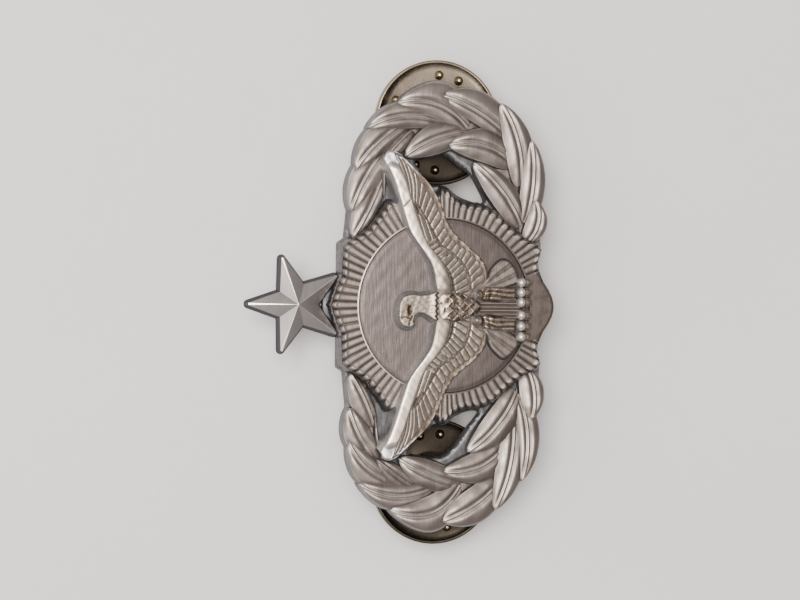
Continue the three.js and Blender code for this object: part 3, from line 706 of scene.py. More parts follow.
def disc():
    """The plain middle, slightly domed, as rings of points closed underneath."""
    radius = np.r_[0.05, np.linspace(0.3, RING_R - 0.2, 60)]
    angle = round_angles(240)
    r, a = np.meshgrid(radius, angle, indexing="ij")
    x, y = r * np.cos(a), r * np.sin(a)
    z = DISC_TOP + 0.16 * (1 - (r / RING_R) ** 2) + 0.008 * rough(x, y, 1.1, 11)
    z = z - 0.05 * smoothstep(RING_R - 0.6, RING_R - 0.2, r)
    top = np.stack([x, y, z], axis=-1)
    under = np.stack([x[[-1, 0]], y[[-1, 0]], np.full_like(x[[-1, 0]], 1.6)], axis=-1)
    rings = np.concatenate([top, under])
    patina_and_shade = np.zeros(rings.shape[:2])
    # The disc is painted darker toward -Y and +X, beside the right wing's arm and away from the light:
    # painted shade.
    away = 0.5 * smoothstep(3.5, -5.0, y - 0.35 * x)
    patina_and_shade[: len(radius)] = np.maximum(away, 0.5 * smoothstep(RING_R - 0.7, RING_R - 0.25, r))
    shape = rings.reshape(-1, 3), ring_surface(rings).tolist()
    add_piece("disc_face", shape, DISC_METAL, "centre_disc", tints={"patina_and_shade": patina_and_shade})


disc()

# ---- back plate ---------------------------------------------------------------
# The gaps in the plate between the shield and the wreath, the right half of the plate's outline from
# its top point to its bottom point, and how far the plate shows past the leaves.
OPENINGS = [
    [(10.9, 1.0), (12.3, 2.1), (13.3, 2.6), (13.6, 1.5), (14.0, 0), (13.0, -1.5), (12.2, -2.6), (10.9, -3.4),
     (9.5, -4.0), (9.45, -3), (10.0, -1.5), (10.75, -0.5), (10.95, 0.3)],
    [(-11.5, 1.4), (-12.7, 2.7), (-13.7, 2.7), (-13.9, 0), (-12.8, -1.5), (-11.2, -2.6), (-9.7, -3.7),
     (-9.5, -2.8), (-10.1, -1.3), (-10.8, -0.6), (-10.9, 0.6)],
]
PLATE_EDGE = [
    (0, 11.7), (0.9, 11.1), (1.6, 10.1), (2.7, 9.6), (5.6, 9.6), (6.0, 9.0), (9.0, 8.7), (12.0, 8.4),
    (14.0, 7.9), (16.2, 6.5), (17.2, 5.6), (18.2, 4.2), (19.4, 2.6), (20.0, 0.8), (20.0, -0.6), (19.3, -3.4),
    (18.2, -5.4), (16.2, -7.2), (13.0, -8.7), (10.5, -9.1), (7.0, -9.2), (5.4, -9.3), (4.0, -8.8), (0, -10.2),
]
PLATE_MARGIN = 0.1


def plate_outline_distance(x, y):
    return inside_distance(x, y, PLATE_EDGE + mirrored(PLATE_EDGE)[1:-1])


def plate_field(x, y):
    edge = plate_outline_distance(x, y)
    for opening in OPENINGS:
        edge = np.minimum(edge, -inside_distance(x, y, even(opening, 60, closed=True)))
    for leaf in LEFT_LEAVES + RIGHT_LEAVES:
        edge = np.maximum(edge, leaf_field(leaf, x, y) + PLATE_MARGIN)
    return edge


def back_plate():
    def height(x, y, f):
        return PLATE_TOP - 0.14 * (1 - rounded_edge(f, 0.16)) + 0.02 * rough(x, y, 0.9, 5)

    box = (-21.2, 21.2, -10.8, 10.8)
    points, faces, f = relief(plate_field, height, box, low=0.0, pitch=0.12, draft=0.12)
    front = points[:, 2] > 0.01
    tints = {
        "patina_and_shade": np.where(front, 0.5 * smoothstep(0.1, 0.5, f), 0.0),
        "worn_and_highlit": np.where(front, 0.35 * (1 - smoothstep(0.0, 0.15, f)), 0.5),
    }
    add_piece("ground_plate", (points, faces), PLATE_METAL, "back_plate", tints=tints)


back_plate()

# ---- star ---------------------------------------------------------------------
STAR_CENTRE = np.array([0.0, 13.4])
STAR_R = 4.55
STAR_DIP_R = 1.92
STAR_TIP_R = 0.22
STAR_SHARP = 14  # degrees between two facets that keep a crisp edge
STAR_BOTTOM_Z, STAR_EDGE_Z, STAR_PEAK_Z = 0.04, 1.25, 2.2


def star_outline(grow):
    """The star's outline with its blunt round tips, moved outward by grow."""
    points = []
    for k in range(5):
        tip = math.radians(90 + 72 * k)
        forward = np.array([math.cos(tip), math.sin(tip)])
        side = np.array([-forward[1], forward[0]])
        centre = STAR_CENTRE + forward * (STAR_R - STAR_TIP_R)
        for turn in np.linspace(-75, 75, 9):
            a = math.radians(turn)
            points.append(centre + (forward * math.cos(a) + side * math.sin(a)) * (STAR_TIP_R * 0.55 + grow))
        dip = math.radians(90 + 72 * k + 36)
        points.append(STAR_CENTRE + np.array([math.cos(dip), math.sin(dip)]) * (STAR_DIP_R + 1.05 * grow))
    return np.array(points)


def star():
    """Five ridged arms with flat facets, over a leaning wall."""
    edge = star_outline(0)
    levels = [(0.3, STAR_BOTTOM_Z), (0.27, 0.3), (0.15, 0.8), (0.02, STAR_EDGE_Z - 0.02)]
    rings = [np.c_[star_outline(grow), np.full(len(edge), z)] for grow, z in levels]
    rings.append(np.c_[edge, np.full(len(edge), STAR_EDGE_Z)])
    for share in (0.35, 0.7, 0.94):
        z = STAR_EDGE_Z + (STAR_PEAK_Z - STAR_EDGE_Z) * share
        rings.append(np.c_[edge + (STAR_CENTRE - edge) * share, np.full(len(edge), z)])
    rings = np.stack(rings)
    n, m = rings.shape[:2]
    middles = [[*STAR_CENTRE, STAR_PEAK_Z], [*STAR_CENTRE, STAR_BOTTOM_Z]]
    points = np.vstack([rings.reshape(-1, 3), middles])
    faces = ring_surface(rings, loops=False).tolist()
    for k in range(m):
        after = (k + 1) % m
        faces.append([(n - 1) * m + k, (n - 1) * m + after, n * m])
        faces.append([after, k, n * m + 1])
    worn_and_highlit = np.zeros(len(points))
    worn_and_highlit[:-2] = np.where(np.isin(np.tile(np.arange(m) % 10, n), (3, 4, 5)), 0.7, 0.15)
    back = points[:, 2] < 0.1
    worn_and_highlit[back] = 0
    patina_and_shade = np.where(back, 0.6, 0.5 * smoothstep(14.2, 10.8, points[:, 1]))
    shape, tints = (points, faces), {"patina_and_shade": patina_and_shade, "worn_and_highlit": worn_and_highlit}
    piece = add_piece("star_face", shape, STAR_METAL, "star", tints=tints, sharp=STAR_SHARP)
    bevel = piece.modifiers.new("worn_edges", "BEVEL")
    bevel.width = 0.05 * MM
    bevel.segments = 2
    bevel.limit_method = "ANGLE"
    bevel.angle_limit = math.radians(STAR_SHARP)


star()


# ---- eagle --------------------------------------------------------------------
# The right wing's guide lines from body to tip: the arm's outer edge, crest and inner edge, and the
# trailing edge of the ground that the feathers lie on.
WING_LINES = {
    "outer": [
        (-0.3, 0.8), (1.4, 0.98), (2.5, 1.12), (3.7, 1.42), (4.8, 2.1), (5.9, 2.9), (6.9, 3.5), (8.4, 4.0),
        (9.9, 4.45), (11.5, 5.0), (12.7, 5.55), (13.35, 5.85),
    ],
    "crest": [
        (-0.3, 0.3), (1.4, 0.42), (2.5, 0.6), (3.65, 1.0), (4.7, 1.75), (5.75, 2.6), (6.8, 3.2), (8.35, 3.7),
        (9.8, 4.15), (11.4, 4.65), (12.85, 5.25), (13.9, 5.55),
    ],
    "inner": [
        (-0.3, -0.4), (1.4, -0.42), (2.55, -0.25), (3.6, 0.2), (4.65, 1.0), (5.6, 1.78), (6.75, 2.32),
        (8.3, 2.85), (9.7, 3.35), (11.25, 3.85), (12.7, 4.5), (14.05, 5.05),
    ],
    "trailing": [
        (0.4, -3.2), (2.0, -3.75), (3.4, -3.75), (4.4, -3.1), (5.1, -2.4), (5.85, -1.5), (6.7, -0.65),
        (7.9, 0.05), (9.4, 0.65), (10.95, 1.55), (12.4, 3.0), (13.75, 4.4),
    ],
}
WING_GROUND_Z = 2.55
WING_FOOT_Z = 1.2
ARM_Z = 3.05
ARM_CRACK = [(8.95, 4.05), (9.5, 3.45)]  # a dark scratch across the right wing's arm

# Rows of feathers, lowest first. Each has guide curves from body to tip that the gaps between its
# feathers follow (root, middle, end), how many feathers, and the heights of their roots and ends.
FEATHER_ROWS = [
    (
        [
            ((1.4, -2.3), (2.0, -3.0), (2.3, -3.7)), ((2.75, -2.1), (3.35, -2.68), (3.88, -3.2)),
            ((3.85, -1.54), (4.4, -1.85), (4.95, -2.2)), ((4.8, -0.5), (5.2, -0.82), (5.68, -1.13)),
            ((5.5, 0.53), (6.0, 0.15), (6.5, -0.22)), ((6.8, 1.35), (7.5, 0.85), (8.15, 0.42)),
            ((7.95, 1.98), (8.8, 1.6), (9.7, 1.2)), ((8.9, 2.58), (10.0, 2.33), (11.0, 2.1)),
            ((9.1, 3.1), (11.2, 3.2), (13.0, 3.75)), ((9.6, 3.6), (11.6, 4.0), (13.6, 4.7)),
        ],
        20, 2.86, 2.74,
    ),
    (
        [
            ((0.5, -0.8), (0.75, -1.6), (0.9, -2.4)), ((1.4, -0.7), (1.8, -1.5), (2.2, -2.15)),
            ((2.6, -0.45), (3.2, -1.1), (3.7, -1.65)), ((3.42, 0.05), (3.95, -0.45), (4.42, -0.9)),
            ((4.42, 0.75), (4.85, 0.45), (5.2, 0.25)),
        ],
        9, 2.98, 2.86,
    ),
    (
        [
            ((3.5, 0.35), (3.9, 0.0), (4.25, -0.25)), ((4.7, 1.25), (5.0, 0.85), (5.25, 0.5)),
            ((5.6, 2.0), (5.9, 1.5), (6.2, 1.0)),
        ],
        5, 3.02, 2.95,
    ),
    (
        [
            ((5.4, 0.8), (6.5, 1.25), (7.6, 1.7)), ((5.5, 1.5), (6.9, 1.95), (8.3, 2.4)),
            ((5.7, 2.5), (7.5, 3.0), (9.2, 3.5)),
        ],
        3, 2.97, 2.86,
    ),
]


def feather(near, far, root_z, end_z, tilt):
    """A flat-topped feather between two guide curves, with low sides and a round end: points and tints."""
    s = 1 - (1 - np.linspace(0, 1, 26)[:, None]) ** 1.6
    v = np.sin(math.pi / 2 * np.linspace(-1, 1, 15)[None, :])
    middle, half = along((near + far) / 2, s.ravel()), along((far - near) / 2, s.ravel())
    length = np.linalg.norm(np.diff(middle, axis=0), axis=1).sum()
    blunt = min(0.4, 0.42 / length)
    width = 0.93 * np.sqrt(np.clip(1 - np.clip((s - 1 + blunt) / blunt, 0, 1) ** 3, 0.02, 1))
    xy = middle[:, None] + half[:, None] * (v * width)[..., None]
    # Slightly crowned and tilted so that one side shows, with its root and its end sunk.
    z = root_z + (end_z - root_z) * s + 0.02 * (1 - v**2) - 0.05 * np.abs(v) ** 10 + tilt * v
    z = z - 0.08 * smoothstep(0.9, 1.0, s) - 0.25 * smoothstep(0.1, 0.0, s)
    z = z + 0.012 * rough(xy[..., 0], xy[..., 1], 0.6, 52)
    grid = np.concatenate([xy, z[..., None]], axis=-1)
    grid = np.concatenate([grid[:, :1], grid, grid[:, -1:]], axis=1)
    grid[:, [0, -1], 2] = WING_GROUND_Z - 0.1
    edge = np.maximum(smoothstep(0.88, 1.0, np.abs(v)) + 0 * s, smoothstep(0.97, 1.0, s) + 0 * v)
    pad = ((0, 0), (1, 1))
    return grid, np.pad(0.6 * edge, pad, constant_values=0.9), np.pad(0.26 * (1 - edge), pad)


def wing(name, sign):
    """One wing: the arm and the ground below it in one sheet, and its rows of feathers."""
    t = np.linspace(0, 1, 400)
    line = {key: along(points, t) for key, points in WING_LINES.items()}
    seed = 20 if sign > 0 else 40
    tip = smoothstep(0.875, 0.925, t)  # the bare flat end of the arm
    a = np.linspace(0, 1, 26)[:, None]
    arm_xy = along(np.stack([line["outer"], line["crest"], line["inner"]]), a.ravel())
    arm_z = ARM_Z - 0.15 * t - 0.45 * smoothstep(0.11, 0.0, t) - 0.1 * tip
    round_arm = np.sin(math.pi * (0.02 + 0.96 * a)) ** 0.28
    arm_z = arm_z + (0.26 - 0.06 * t) * (1 - 0.9 * tip) * round_arm + 0.06 * a
    arm_z = arm_z + 0.02 * rough(arm_xy[..., 0], arm_xy[..., 1], 0.9, seed + 5)
    crack = bell(line_distance(arm_xy[..., 0], arm_xy[..., 1], ARM_CRACK), 0.06) * (sign > 0)
    arm_z = arm_z - 0.1 * crack
    # The ground that the feathers lie on, from the arm's inner edge to the trailing edge.
    w = np.linspace(0, 1, 30)[1:, None]
    web_xy = line["inner"] + (line["trailing"] - line["inner"]) * w[..., None]
    raised = np.maximum(smoothstep(0.12, 0.0, w), smoothstep(0.97, 1.0, t))
    web_z = WING_GROUND_Z + (ARM_Z - 0.1 - WING_GROUND_Z) * raised
    web_z = web_z + 0.02 * rough(web_xy[..., 0], web_xy[..., 1], 0.7, seed + 6)
    top = np.concatenate([np.dstack([arm_xy, arm_z]), np.dstack([web_xy, web_z])])
    top[..., 2] -= 0.3 * (1 - rounded_edge(1 - t, 0.02))

    def wall(edge, inward, levels):
        """Rows of points that lean outward from an edge as they go down."""
        out = edge[:, :2] - inward[:, :2]
        out = out / (np.linalg.norm(out, axis=1)[:, None] + 1e-9)
        z = edge[:, 2]
        return [np.c_[edge[:, :2] + out * lean, z * (1 - deep) + WING_FOOT_Z * deep] for lean, deep in levels]

    front = np.stack(wall(top[0], top[6], [(0.05, 0.03), (0.14, 0.12), (0.34, 0.5), (0.5, 1.0)])[::-1])
    rear = np.stack(wall(top[-1], top[-8], [(0.04, 0.03), (0.12, 0.15), (0.3, 1.0)]))
    grid = np.concatenate([front, top, rear])
    patina_and_shade = np.zeros(grid.shape[:2])
    worn_and_highlit = np.zeros(grid.shape[:2])
    arm_rows = slice(len(front), len(front) + len(arm_xy))
    web_rows = slice(len(front) + len(arm_xy), len(front) + len(top))
    patina_and_shade[arm_rows] = np.maximum(0.9 * crack, 0.22 * smoothstep(0.4, 0.1, t))
    patina_and_shade[web_rows] = (0.7 - 0.5 * smoothstep(0.85, 1.0, w)) * (1 - smoothstep(0.9, 1.0, t))
    rubbed = smoothstep(0.0, 0.12, a) * smoothstep(1.02, 0.85, a) * (0.12 + 0.88 * smoothstep(0.15, 0.5, t))
    worn_and_highlit[arm_rows] = 1.5 * rubbed * (1 - 0.95 * tip)
    bare_end = np.repeat(0.8 * tip[:, None], len(grid), axis=1)
    parts, dark, bright = [closed_sheet(grid.transpose(1, 0, 2))], [patina_and_shade.T], [worn_and_highlit.T]

    chance = np.random.default_rng(seed)
    for guides, count, root_z, end_z in FEATHER_ROWS:
        gaps = along(np.array(guides), np.linspace(0, 1, count + 1))
        for near, far in zip(gaps[:-1], gaps[1:]):
            far = far + chance.uniform(-0.03, 0.03, 2)
            lift = chance.uniform(-0.015, 0.015)
            grid, edge, shine = feather(near, far, root_z + lift, end_z + lift, chance.uniform(0.02, 0.07))
            parts.append(closed_sheet(grid))
            dark.append(edge)
            bright.append(shine)
    points, faces = merged(parts)
    if sign < 0:
        points = points * (-1, 1, 1)
        faces = [face[::-1] for face in faces]
    bare = np.zeros(len(points))
    bare[: bare_end.size] = bare_end.ravel()
    tints = {"patina_and_shade": joined(dark), "worn_and_highlit": joined(bright), "bare": bare}
    add_piece(name, (points, faces), EAGLE_METAL, "eagle", tints=tints, sharp=50)


wing("wing_right", 1)
wing("wing_left", -1)


def eagle_blob(name, outline, height, dark, bright, draft=0.12, metal=EAGLE_METAL):
    """A rounded piece of the eagle inside an outline, with how dark and how worn each place is."""
    polygon = even(outline, 90, closed=True)

    def field(x, y):
        return inside_distance(x, y, polygon)

    xs, ys = polygon.T
    box = (xs.min() - 0.1, xs.max() + 0.1, ys.min() - 0.1, ys.max() + 0.1)
    points, faces, f = relief(field, height, box, low=EAGLE_FOOT_Z, pitch=0.05, draft=draft)
    x, y = points[:, 0], points[:, 1]
    tints = {"patina_and_shade": dark(x, y, f), "worn_and_highlit": bright(x, y, f)}
    add_piece(name, (points, faces), metal, "eagle", tints=tints, sharp=50)


EAGLE_FOOT_Z = 1.9
HEAD_OUTLINE = [
    (-0.35, 4.5), (0.4, 4.36), (0.98, 3.85), (1.14, 3.15), (1.06, 2.4), (1.14, 1.7), (1.4, 0.8), (1.2, 0.1),
    (0, -0.1), (-1.2, 0.1), (-1.55, 0.8), (-1.2, 1.45), (-0.86, 2.0), (-0.76, 2.5), (-0.98, 2.82),
    (-1.35, 2.98), (-1.62, 2.84), (-1.95, 3.1), (-2.06, 3.6), (-1.9, 4.05), (-1.5, 4.36), (-0.95, 4.5),
]
EYE = (-0.4, 3.42)
MOUTH_LINE = [(-1.0, 3.18), (-1.4, 3.42), (-1.72, 3.45)]
CERE_LINE = [(-1.12, 4.2), (-1.02, 3.8), (-1.15, 3.4)]


def round_eye(x, y, half_x, half_y):
    return np.exp(-(((x - EYE[0]) / half_x) ** 2 + ((y - EYE[1]) / half_y) ** 2))


def neck_hem(x):
    """Where the neck plumes' pointed ends lie over the breast."""
    return 0.92 + 0.20 * np.abs(((x / 0.48) % 1) * 2 - 1)


def head_height(x, y, f):
    z = 2.95 + 0.36 * rounded_edge(f, 0.24)
    z = z - 0.26 * round_eye(x, y, 0.30, 0.15) + 0.17 * round_eye(x, y, 0.13, 0.10)
    mouth = bell(line_distance(x, y, MOUTH_LINE), 0.05)
    z = z - 0.12 * mouth - 0.07 * bell(line_distance(x, y, CERE_LINE), 0.05)
    # Fine plumes down the neck, whose ends stand over the breast in a zigzag hem.
    plumes = np.sin(2 * math.pi * (x / 0.34 + 0.35 * np.sin(y * 3.1)))
    z = z + 0.004 * plumes * smoothstep(3.1, 2.4, y) * smoothstep(0.1, 0.35, f)
    hem = y - neck_hem(x)
    z = z + 0.12 * smoothstep(-0.03, 0.06, hem) * smoothstep(1.7, 1.0, y) - 0.12 * smoothstep(0.05, -0.2, hem)
    return z + 0.012 * rough(x, y, 0.4, 61)


def head_dark(x, y, f):
    socket = round_eye(x, y, 0.62, 0.27) * (1.1 + 0.6 * rough(x, y, 0.35, 62))
    mouth = bell(line_distance(x, y, MOUTH_LINE), 0.06)
    cere = bell(line_distance(x, y, CERE_LINE), 0.05)
    hem = bell(y - neck_hem(x) + 0.06, 0.08)
    speckle = 0.6 * smoothstep(0.55, 0.9, rough(x, y, 0.3, 64))
    return np.clip(0.1 + 1.1 * socket + 0.6 * mouth + 0.4 * cere + 0.95 * hem + speckle, 0, 1)


def head_bright(x, y, f):
    return 0.08 * smoothstep(0.0, 0.2, f)


eagle_blob("eagle_head", HEAD_OUTLINE, head_height, head_dark, head_bright, draft=0.3)

BREAST_OUTLINE = [
    (0, 0.95), (0.8, 0.92), (1.3, 0.6), (1.5, 0.0), (1.35, -0.8), (1.2, -1.6), (0.9, -2.4), (0.45, -3.1),
    (0, -3.3), (-0.55, -3.1), (-1.05, -2.4), (-1.4, -1.6), (-1.55, -0.8), (-1.65, 0.0), (-1.45, 0.6),
    (-0.9, 0.92),
]


def breast_net(x, y):
    """Distance to a net of crossing slanted lines between the scales, as a share of its mesh."""
    x, y = x + 0.09 * rough(x, y, 0.9, 3), y + 0.09 * rough(x, y, 0.9, 4)
    u, v = (x + y * 0.85) / 0.85, (x - y * 0.85) / 0.85
    return np.minimum(np.abs(u - np.round(u)), np.abs(v - np.round(v)))


def breast_height(x, y, f):
    scaly = smoothstep(0.3, -0.7, y)
    net = 1 - smoothstep(0.05, 0.16, breast_net(x, y))
    z = 2.62 + 0.74 * rounded_edge(f, 0.7) + 0.1 * (net - 0.5) * scaly
    pit = smoothstep(-0.7, -1.0, rough(x, y, 0.6, 73))
    return z + 0.05 * rough(x, y, 0.8, 71) - 0.08 * pit


def breast_dark(x, y, f):
    scaly = smoothstep(0.4, -0.5, y)
    net = 1 - smoothstep(0.06, 0.2, breast_net(x, y))
    patches = smoothstep(0.0, 0.7, rough(x, y, 0.9, 72)) * smoothstep(0.8, 0.1, y)
    pit = smoothstep(-0.6, -0.9, rough(x, y, 0.6, 73))
    return np.clip(0.7 * (1 - net) * scaly + 0.5 * patches + 0.8 * pit, 0, 1)


def breast_bright(x, y, f):
    return 0.2 * smoothstep(-0.8, 0.4, y) * smoothstep(0.05, 0.4, f)


eagle_blob("eagle_breast", BREAST_OUTLINE, breast_height, breast_dark, breast_bright)

TAIL_FANS = {
    "right": [
        (1.2, -2.6), (2.5, -3.75), (3.3, -4.15), (4.0, -4.75), (4.35, -5.45), (3.95, -6.2), (2.95, -6.75),
        (2.1, -6.6), (1.4, -4.5),
    ],
    "left": [
        (-1.2, -2.6), (-2.5, -3.7), (-3.7, -4.2), (-4.5, -4.95), (-4.8, -5.5), (-4.45, -6.1), (-3.5, -6.85),
        (-2.6, -6.5), (-1.6, -4.5),
    ],
}


def no_wear(x, y, f):
    return 0 * x


def tail_fan(side, sign):
    """Tail feathers that fan out from a root under the breast, a fixed angle each."""
    root = np.array([sign * 0.4, -1.2])

    def split(x, y):
        """How far across its own feather a place lies, from 0 to 1."""
        angle = np.arctan2((x - root[0]) * sign, -(y - root[1]))
        place = (angle - math.radians(14)) / math.radians(9.5)
        return place - np.floor(place)

    def height(x, y, f):
        place = split(x, y)
        crown = 1 - np.abs(2 * place - 1) ** 2.5
        return 2.38 + 0.28 * rounded_edge(f, 0.3) + 0.06 * (crown - 1) + 0.04 * bell(place - 0.5, 0.08)

    def dark(x, y, f):
        crown = 1 - np.abs(2 * split(x, y) - 1) ** 2.5
        return 0.35 * (1 - smoothstep(0, 0.3, crown)) + 0.6 + 0.1 * rough(x, y, 0.8, 77)

    eagle_blob(f"tail_fan_{side}", TAIL_FANS[side], height, dark, no_wear, metal=PEWTER)


tail_fan("right", 1)
tail_fan("left", -1)

TAIL_MIDDLE = [(-0.8, -2.2), (0.6, -2.2), (0.7, -4.5), (0.7, -6.9), (-1.1, -6.9), (-1.0, -4.5)]


def tail_lines(x):
    return np.cos(2 * math.pi * (x + 0.05) / 0.32)


def tail_height(x, y, f):
    return 2.35 + 0.2 * rounded_edge(f, 0.3) + 0.05 * tail_lines(x)


def tail_dark(x, y, f):
    return np.clip(0.7 - 0.35 * tail_lines(x), 0, 1)


eagle_blob("tail_middle", TAIL_MIDDLE, tail_height, tail_dark, no_wear, metal=PEWTER)

THIGHS = {
    "right": ((1.0, -2.3), (1.08, -3.5), (1.1, -5.0), (1.2, -6.6)),
    "left": ((-1.25, -2.3), (-1.35, -3.5), (-1.55, -5.0), (-1.75, -6.6)),
}
THIGH_WIDTHS = (0.5, 0.74, 0.8, 0.66)


def thigh(side):
    """A feathered leg in long wavy locks, with a round knee at its top."""
    spine = along(THIGHS[side], np.linspace(0, 1, 24))
    across = leftward(headings(spine))
    width = along(np.array(THIGH_WIDTHS)[:, None], np.linspace(0, 1, 24))
    outline = np.vstack([spine + across * width, (spine - across * width)[::-1]])
    seed = 80 if side == "right" else 90

    def locks(x, y):
        u = line_distance(x, y, spine) * np.sign(x - np.interp(-y, -spine[:, 1], spine[:, 0]))
        return np.cos(2 * math.pi * (u / 0.46 + 0.3 * np.sin(y * 1.5 + seed)))

    def knee_distance(x, y):
        return np.hypot(x - THIGHS[side][0][0], y + 2.85)

    def height(x, y, f):
        knee = 0.32 * bell(knee_distance(x, y), 0.42)
        z = 2.45 + (0.75 + knee) * rounded_edge(f, 0.55) - 0.28 * smoothstep(-4.2, -6.6, y)
        lumps = 0.12 * rough(x, y, 0.8, seed) * smoothstep(-4.6, -3.6, y)
        return z + 0.05 * locks(x, y) * smoothstep(-2.6, -3.6, y) + lumps + 0.012 * rough(x, y, 0.35, seed)

    def dark(x, y, f):
        patches = smoothstep(0.15, -0.4, rough(x, y, 0.9, seed)) * smoothstep(-6.4, -4.4, y)
        ring = bell(knee_distance(x, y) - 0.48, 0.1)
        grooves = 0.75 * smoothstep(0.3, -0.6, locks(x, y)) * smoothstep(-3.2, -3.8, y)
        return np.clip(0.12 + 0.6 * patches + 0.8 * ring + grooves, 0, 1)

    def bright(x, y, f):
        return 0.3 * smoothstep(0.1, 0.4, f)

    eagle_blob(f"thigh_{side}", outline, height, dark, bright)


thigh("right")
thigh("left")

TOES = (-2.75, -1.77, -0.78, 0.4, 1.3, 2.2)


def toes():
    """Six toes: a round knuckle, a smaller joint and a claw each."""
    parts = []

    def knob(centre, size):
        u = np.linspace(0.03, math.pi - 0.03, 14)
        a = round_angles(24)
        x = centre[0] + size[0] * np.sin(u)[:, None] * np.cos(a)
        y = centre[1] + size[1] * np.sin(u)[:, None] * np.sin(a)
        z = centre[2] + size[2] * np.cos(u)[:, None] * np.ones_like(a)
        rings = np.stack([x, y, z], axis=-1)
        return rings.reshape(-1, 3), [face[::-1] for face in capped_tube(rings)]

    for x in TOES:
        parts.append(knob((x, -6.98, 2.72), (0.46, 0.42, 0.62)))
        parts.append(knob((x, -7.6, 2.55), (0.42, 0.46, 0.42)))
        parts.append(knob((x, -7.55, 2.75), (0.17, 0.2, 0.36)))
    points, faces = merged(parts)
    _, y, z = points.T
    # The knuckles' tops are rubbed bright, partly as a painted highlight, and the toes' lower parts are
    # painted darker: tarnish between the toes and painted shade on the beads' undersides.
    worn_and_highlit = 1.2 * smoothstep(2.85, 3.15, z) * smoothstep(-7.4, -7.1, y)
    tints = {"patina_and_shade": 0.85 * smoothstep(3.0, 2.6, z), "worn_and_highlit": worn_and_highlit}
    add_piece("eagle_toes", (points, faces), EAGLE_METAL, "eagle", tints=tints, sharp=60)


toes()


# ---- posts --------------------------------------------------------------------
def arc(centre, radius, start, end, steps):
    a = np.radians(np.linspace(start, end, steps))
    return [(centre[0] + radius * math.cos(t), centre[1] + radius * math.sin(t)) for t in a]


POST_R = 0.55
GRIP_Z = -2.3
POST_TIP_Z = -6.4
POINT_LENGTH = 1.5
AXIS = 0.0005  # radius at which a turned profile closes on its axis


def post(side):
    """A pin with a waist that the clutch grips and a rounded point, in a foot of solder."""
    spot = POSTS[side]
    profile = [(AXIS, -0.25), (POST_R, -0.25), (POST_R, GRIP_Z + 0.38), (POST_R - 0.03, GRIP_Z + 0.33)]
    for k in range(7):
        profile.append((POST_R - 0.1 - 0.02 * math.sin(math.pi * k / 6), GRIP_Z + 0.22 - 0.44 * k / 6))
    shoulder = POST_TIP_Z + POINT_LENGTH
    profile += [(POST_R - 0.03, GRIP_Z - 0.33), (POST_R, GRIP_Z - 0.38), (POST_R, shoulder)]
    for k in range(1, 7):
        r = POST_R * math.cos(math.radians(k * 12)) ** 0.8
        profile.append((r, shoulder - POINT_LENGTH * (k / 7) ** 0.9))
    profile += [(0.04, POST_TIP_Z + 0.01), (AXIS, POST_TIP_Z)]
    points, faces = turned(profile, spot, 48)
    worn_and_highlit = 0.5 * smoothstep(POST_TIP_Z + 1.6, POST_TIP_Z, points[:, 2])
    add_piece(f"{side}_pin", (points, faces), POST_METAL, f"{side}_post", tints={"worn_and_highlit": worn_and_highlit})

    foot = [(AXIS, 0.03), (1.45, 0.03), (1.5, -0.04), (1.42, -0.14)]
    for a in np.radians(range(0, 91, 10)):
        foot.append((POST_R + 0.02 + 0.85 * (1 - math.sin(a)), -0.14 - 0.14 * (1 - math.cos(a))))
    foot.append((AXIS, -0.29))
    points, faces = turned(foot, spot, 64)
    points[:, 2] *= 1 + 0.04 * rough(points[:, 0], points[:, 1], 1.3, 31)
    add_piece(f"{side}_solder_foot", (points, faces), SOLDER, f"{side}_post_flange")


# ---- butterfly clutches --------------------------------------------------------
# Profiles are (distance from the post's axis, height from the clutch's rim).
NUB_RING_R = 4.37
NUB_TURN = {"right": -14.5, "left": 4.8}  # degrees that each clutch happens to be turned by
NUB_PROFILE = [
    (AXIS, -0.42), (0.44, -0.42), (0.43, -0.3), (0.34, -0.24), (0.26, -0.1), (0.18, 0.1), (0.12, 0.22),
    (0.05, NUB_RISE), (AXIS, NUB_RISE),
]
BASE_PROFILE = [
    (0.86, -0.10), (0.92, -0.03), (1.0, -0.02), (1.1, -0.12), (1.25, -0.27), (1.5, -0.31), (2.6, -0.30),
    (2.75, -0.26), (2.95, -0.26), (3.1, -0.31), (4.9, -0.31), (5.2, -0.28), (5.42, -0.14),
    *arc((5.58, -0.15), 0.17, 135, -10, 9),
    (5.75, -0.5), (5.75, -0.95),
    *arc((5.5, -0.95), 0.25, 0, -90, 5),
    (5.05, -1.2), (4.96, -1.13), (4.96, -1.02), (5.38, -1.0), (5.42, -0.95), (5.42, -0.65), (5.36, -0.6),
    (1.3, -0.6), (1.0, -0.56), (0.86, -0.45),
]


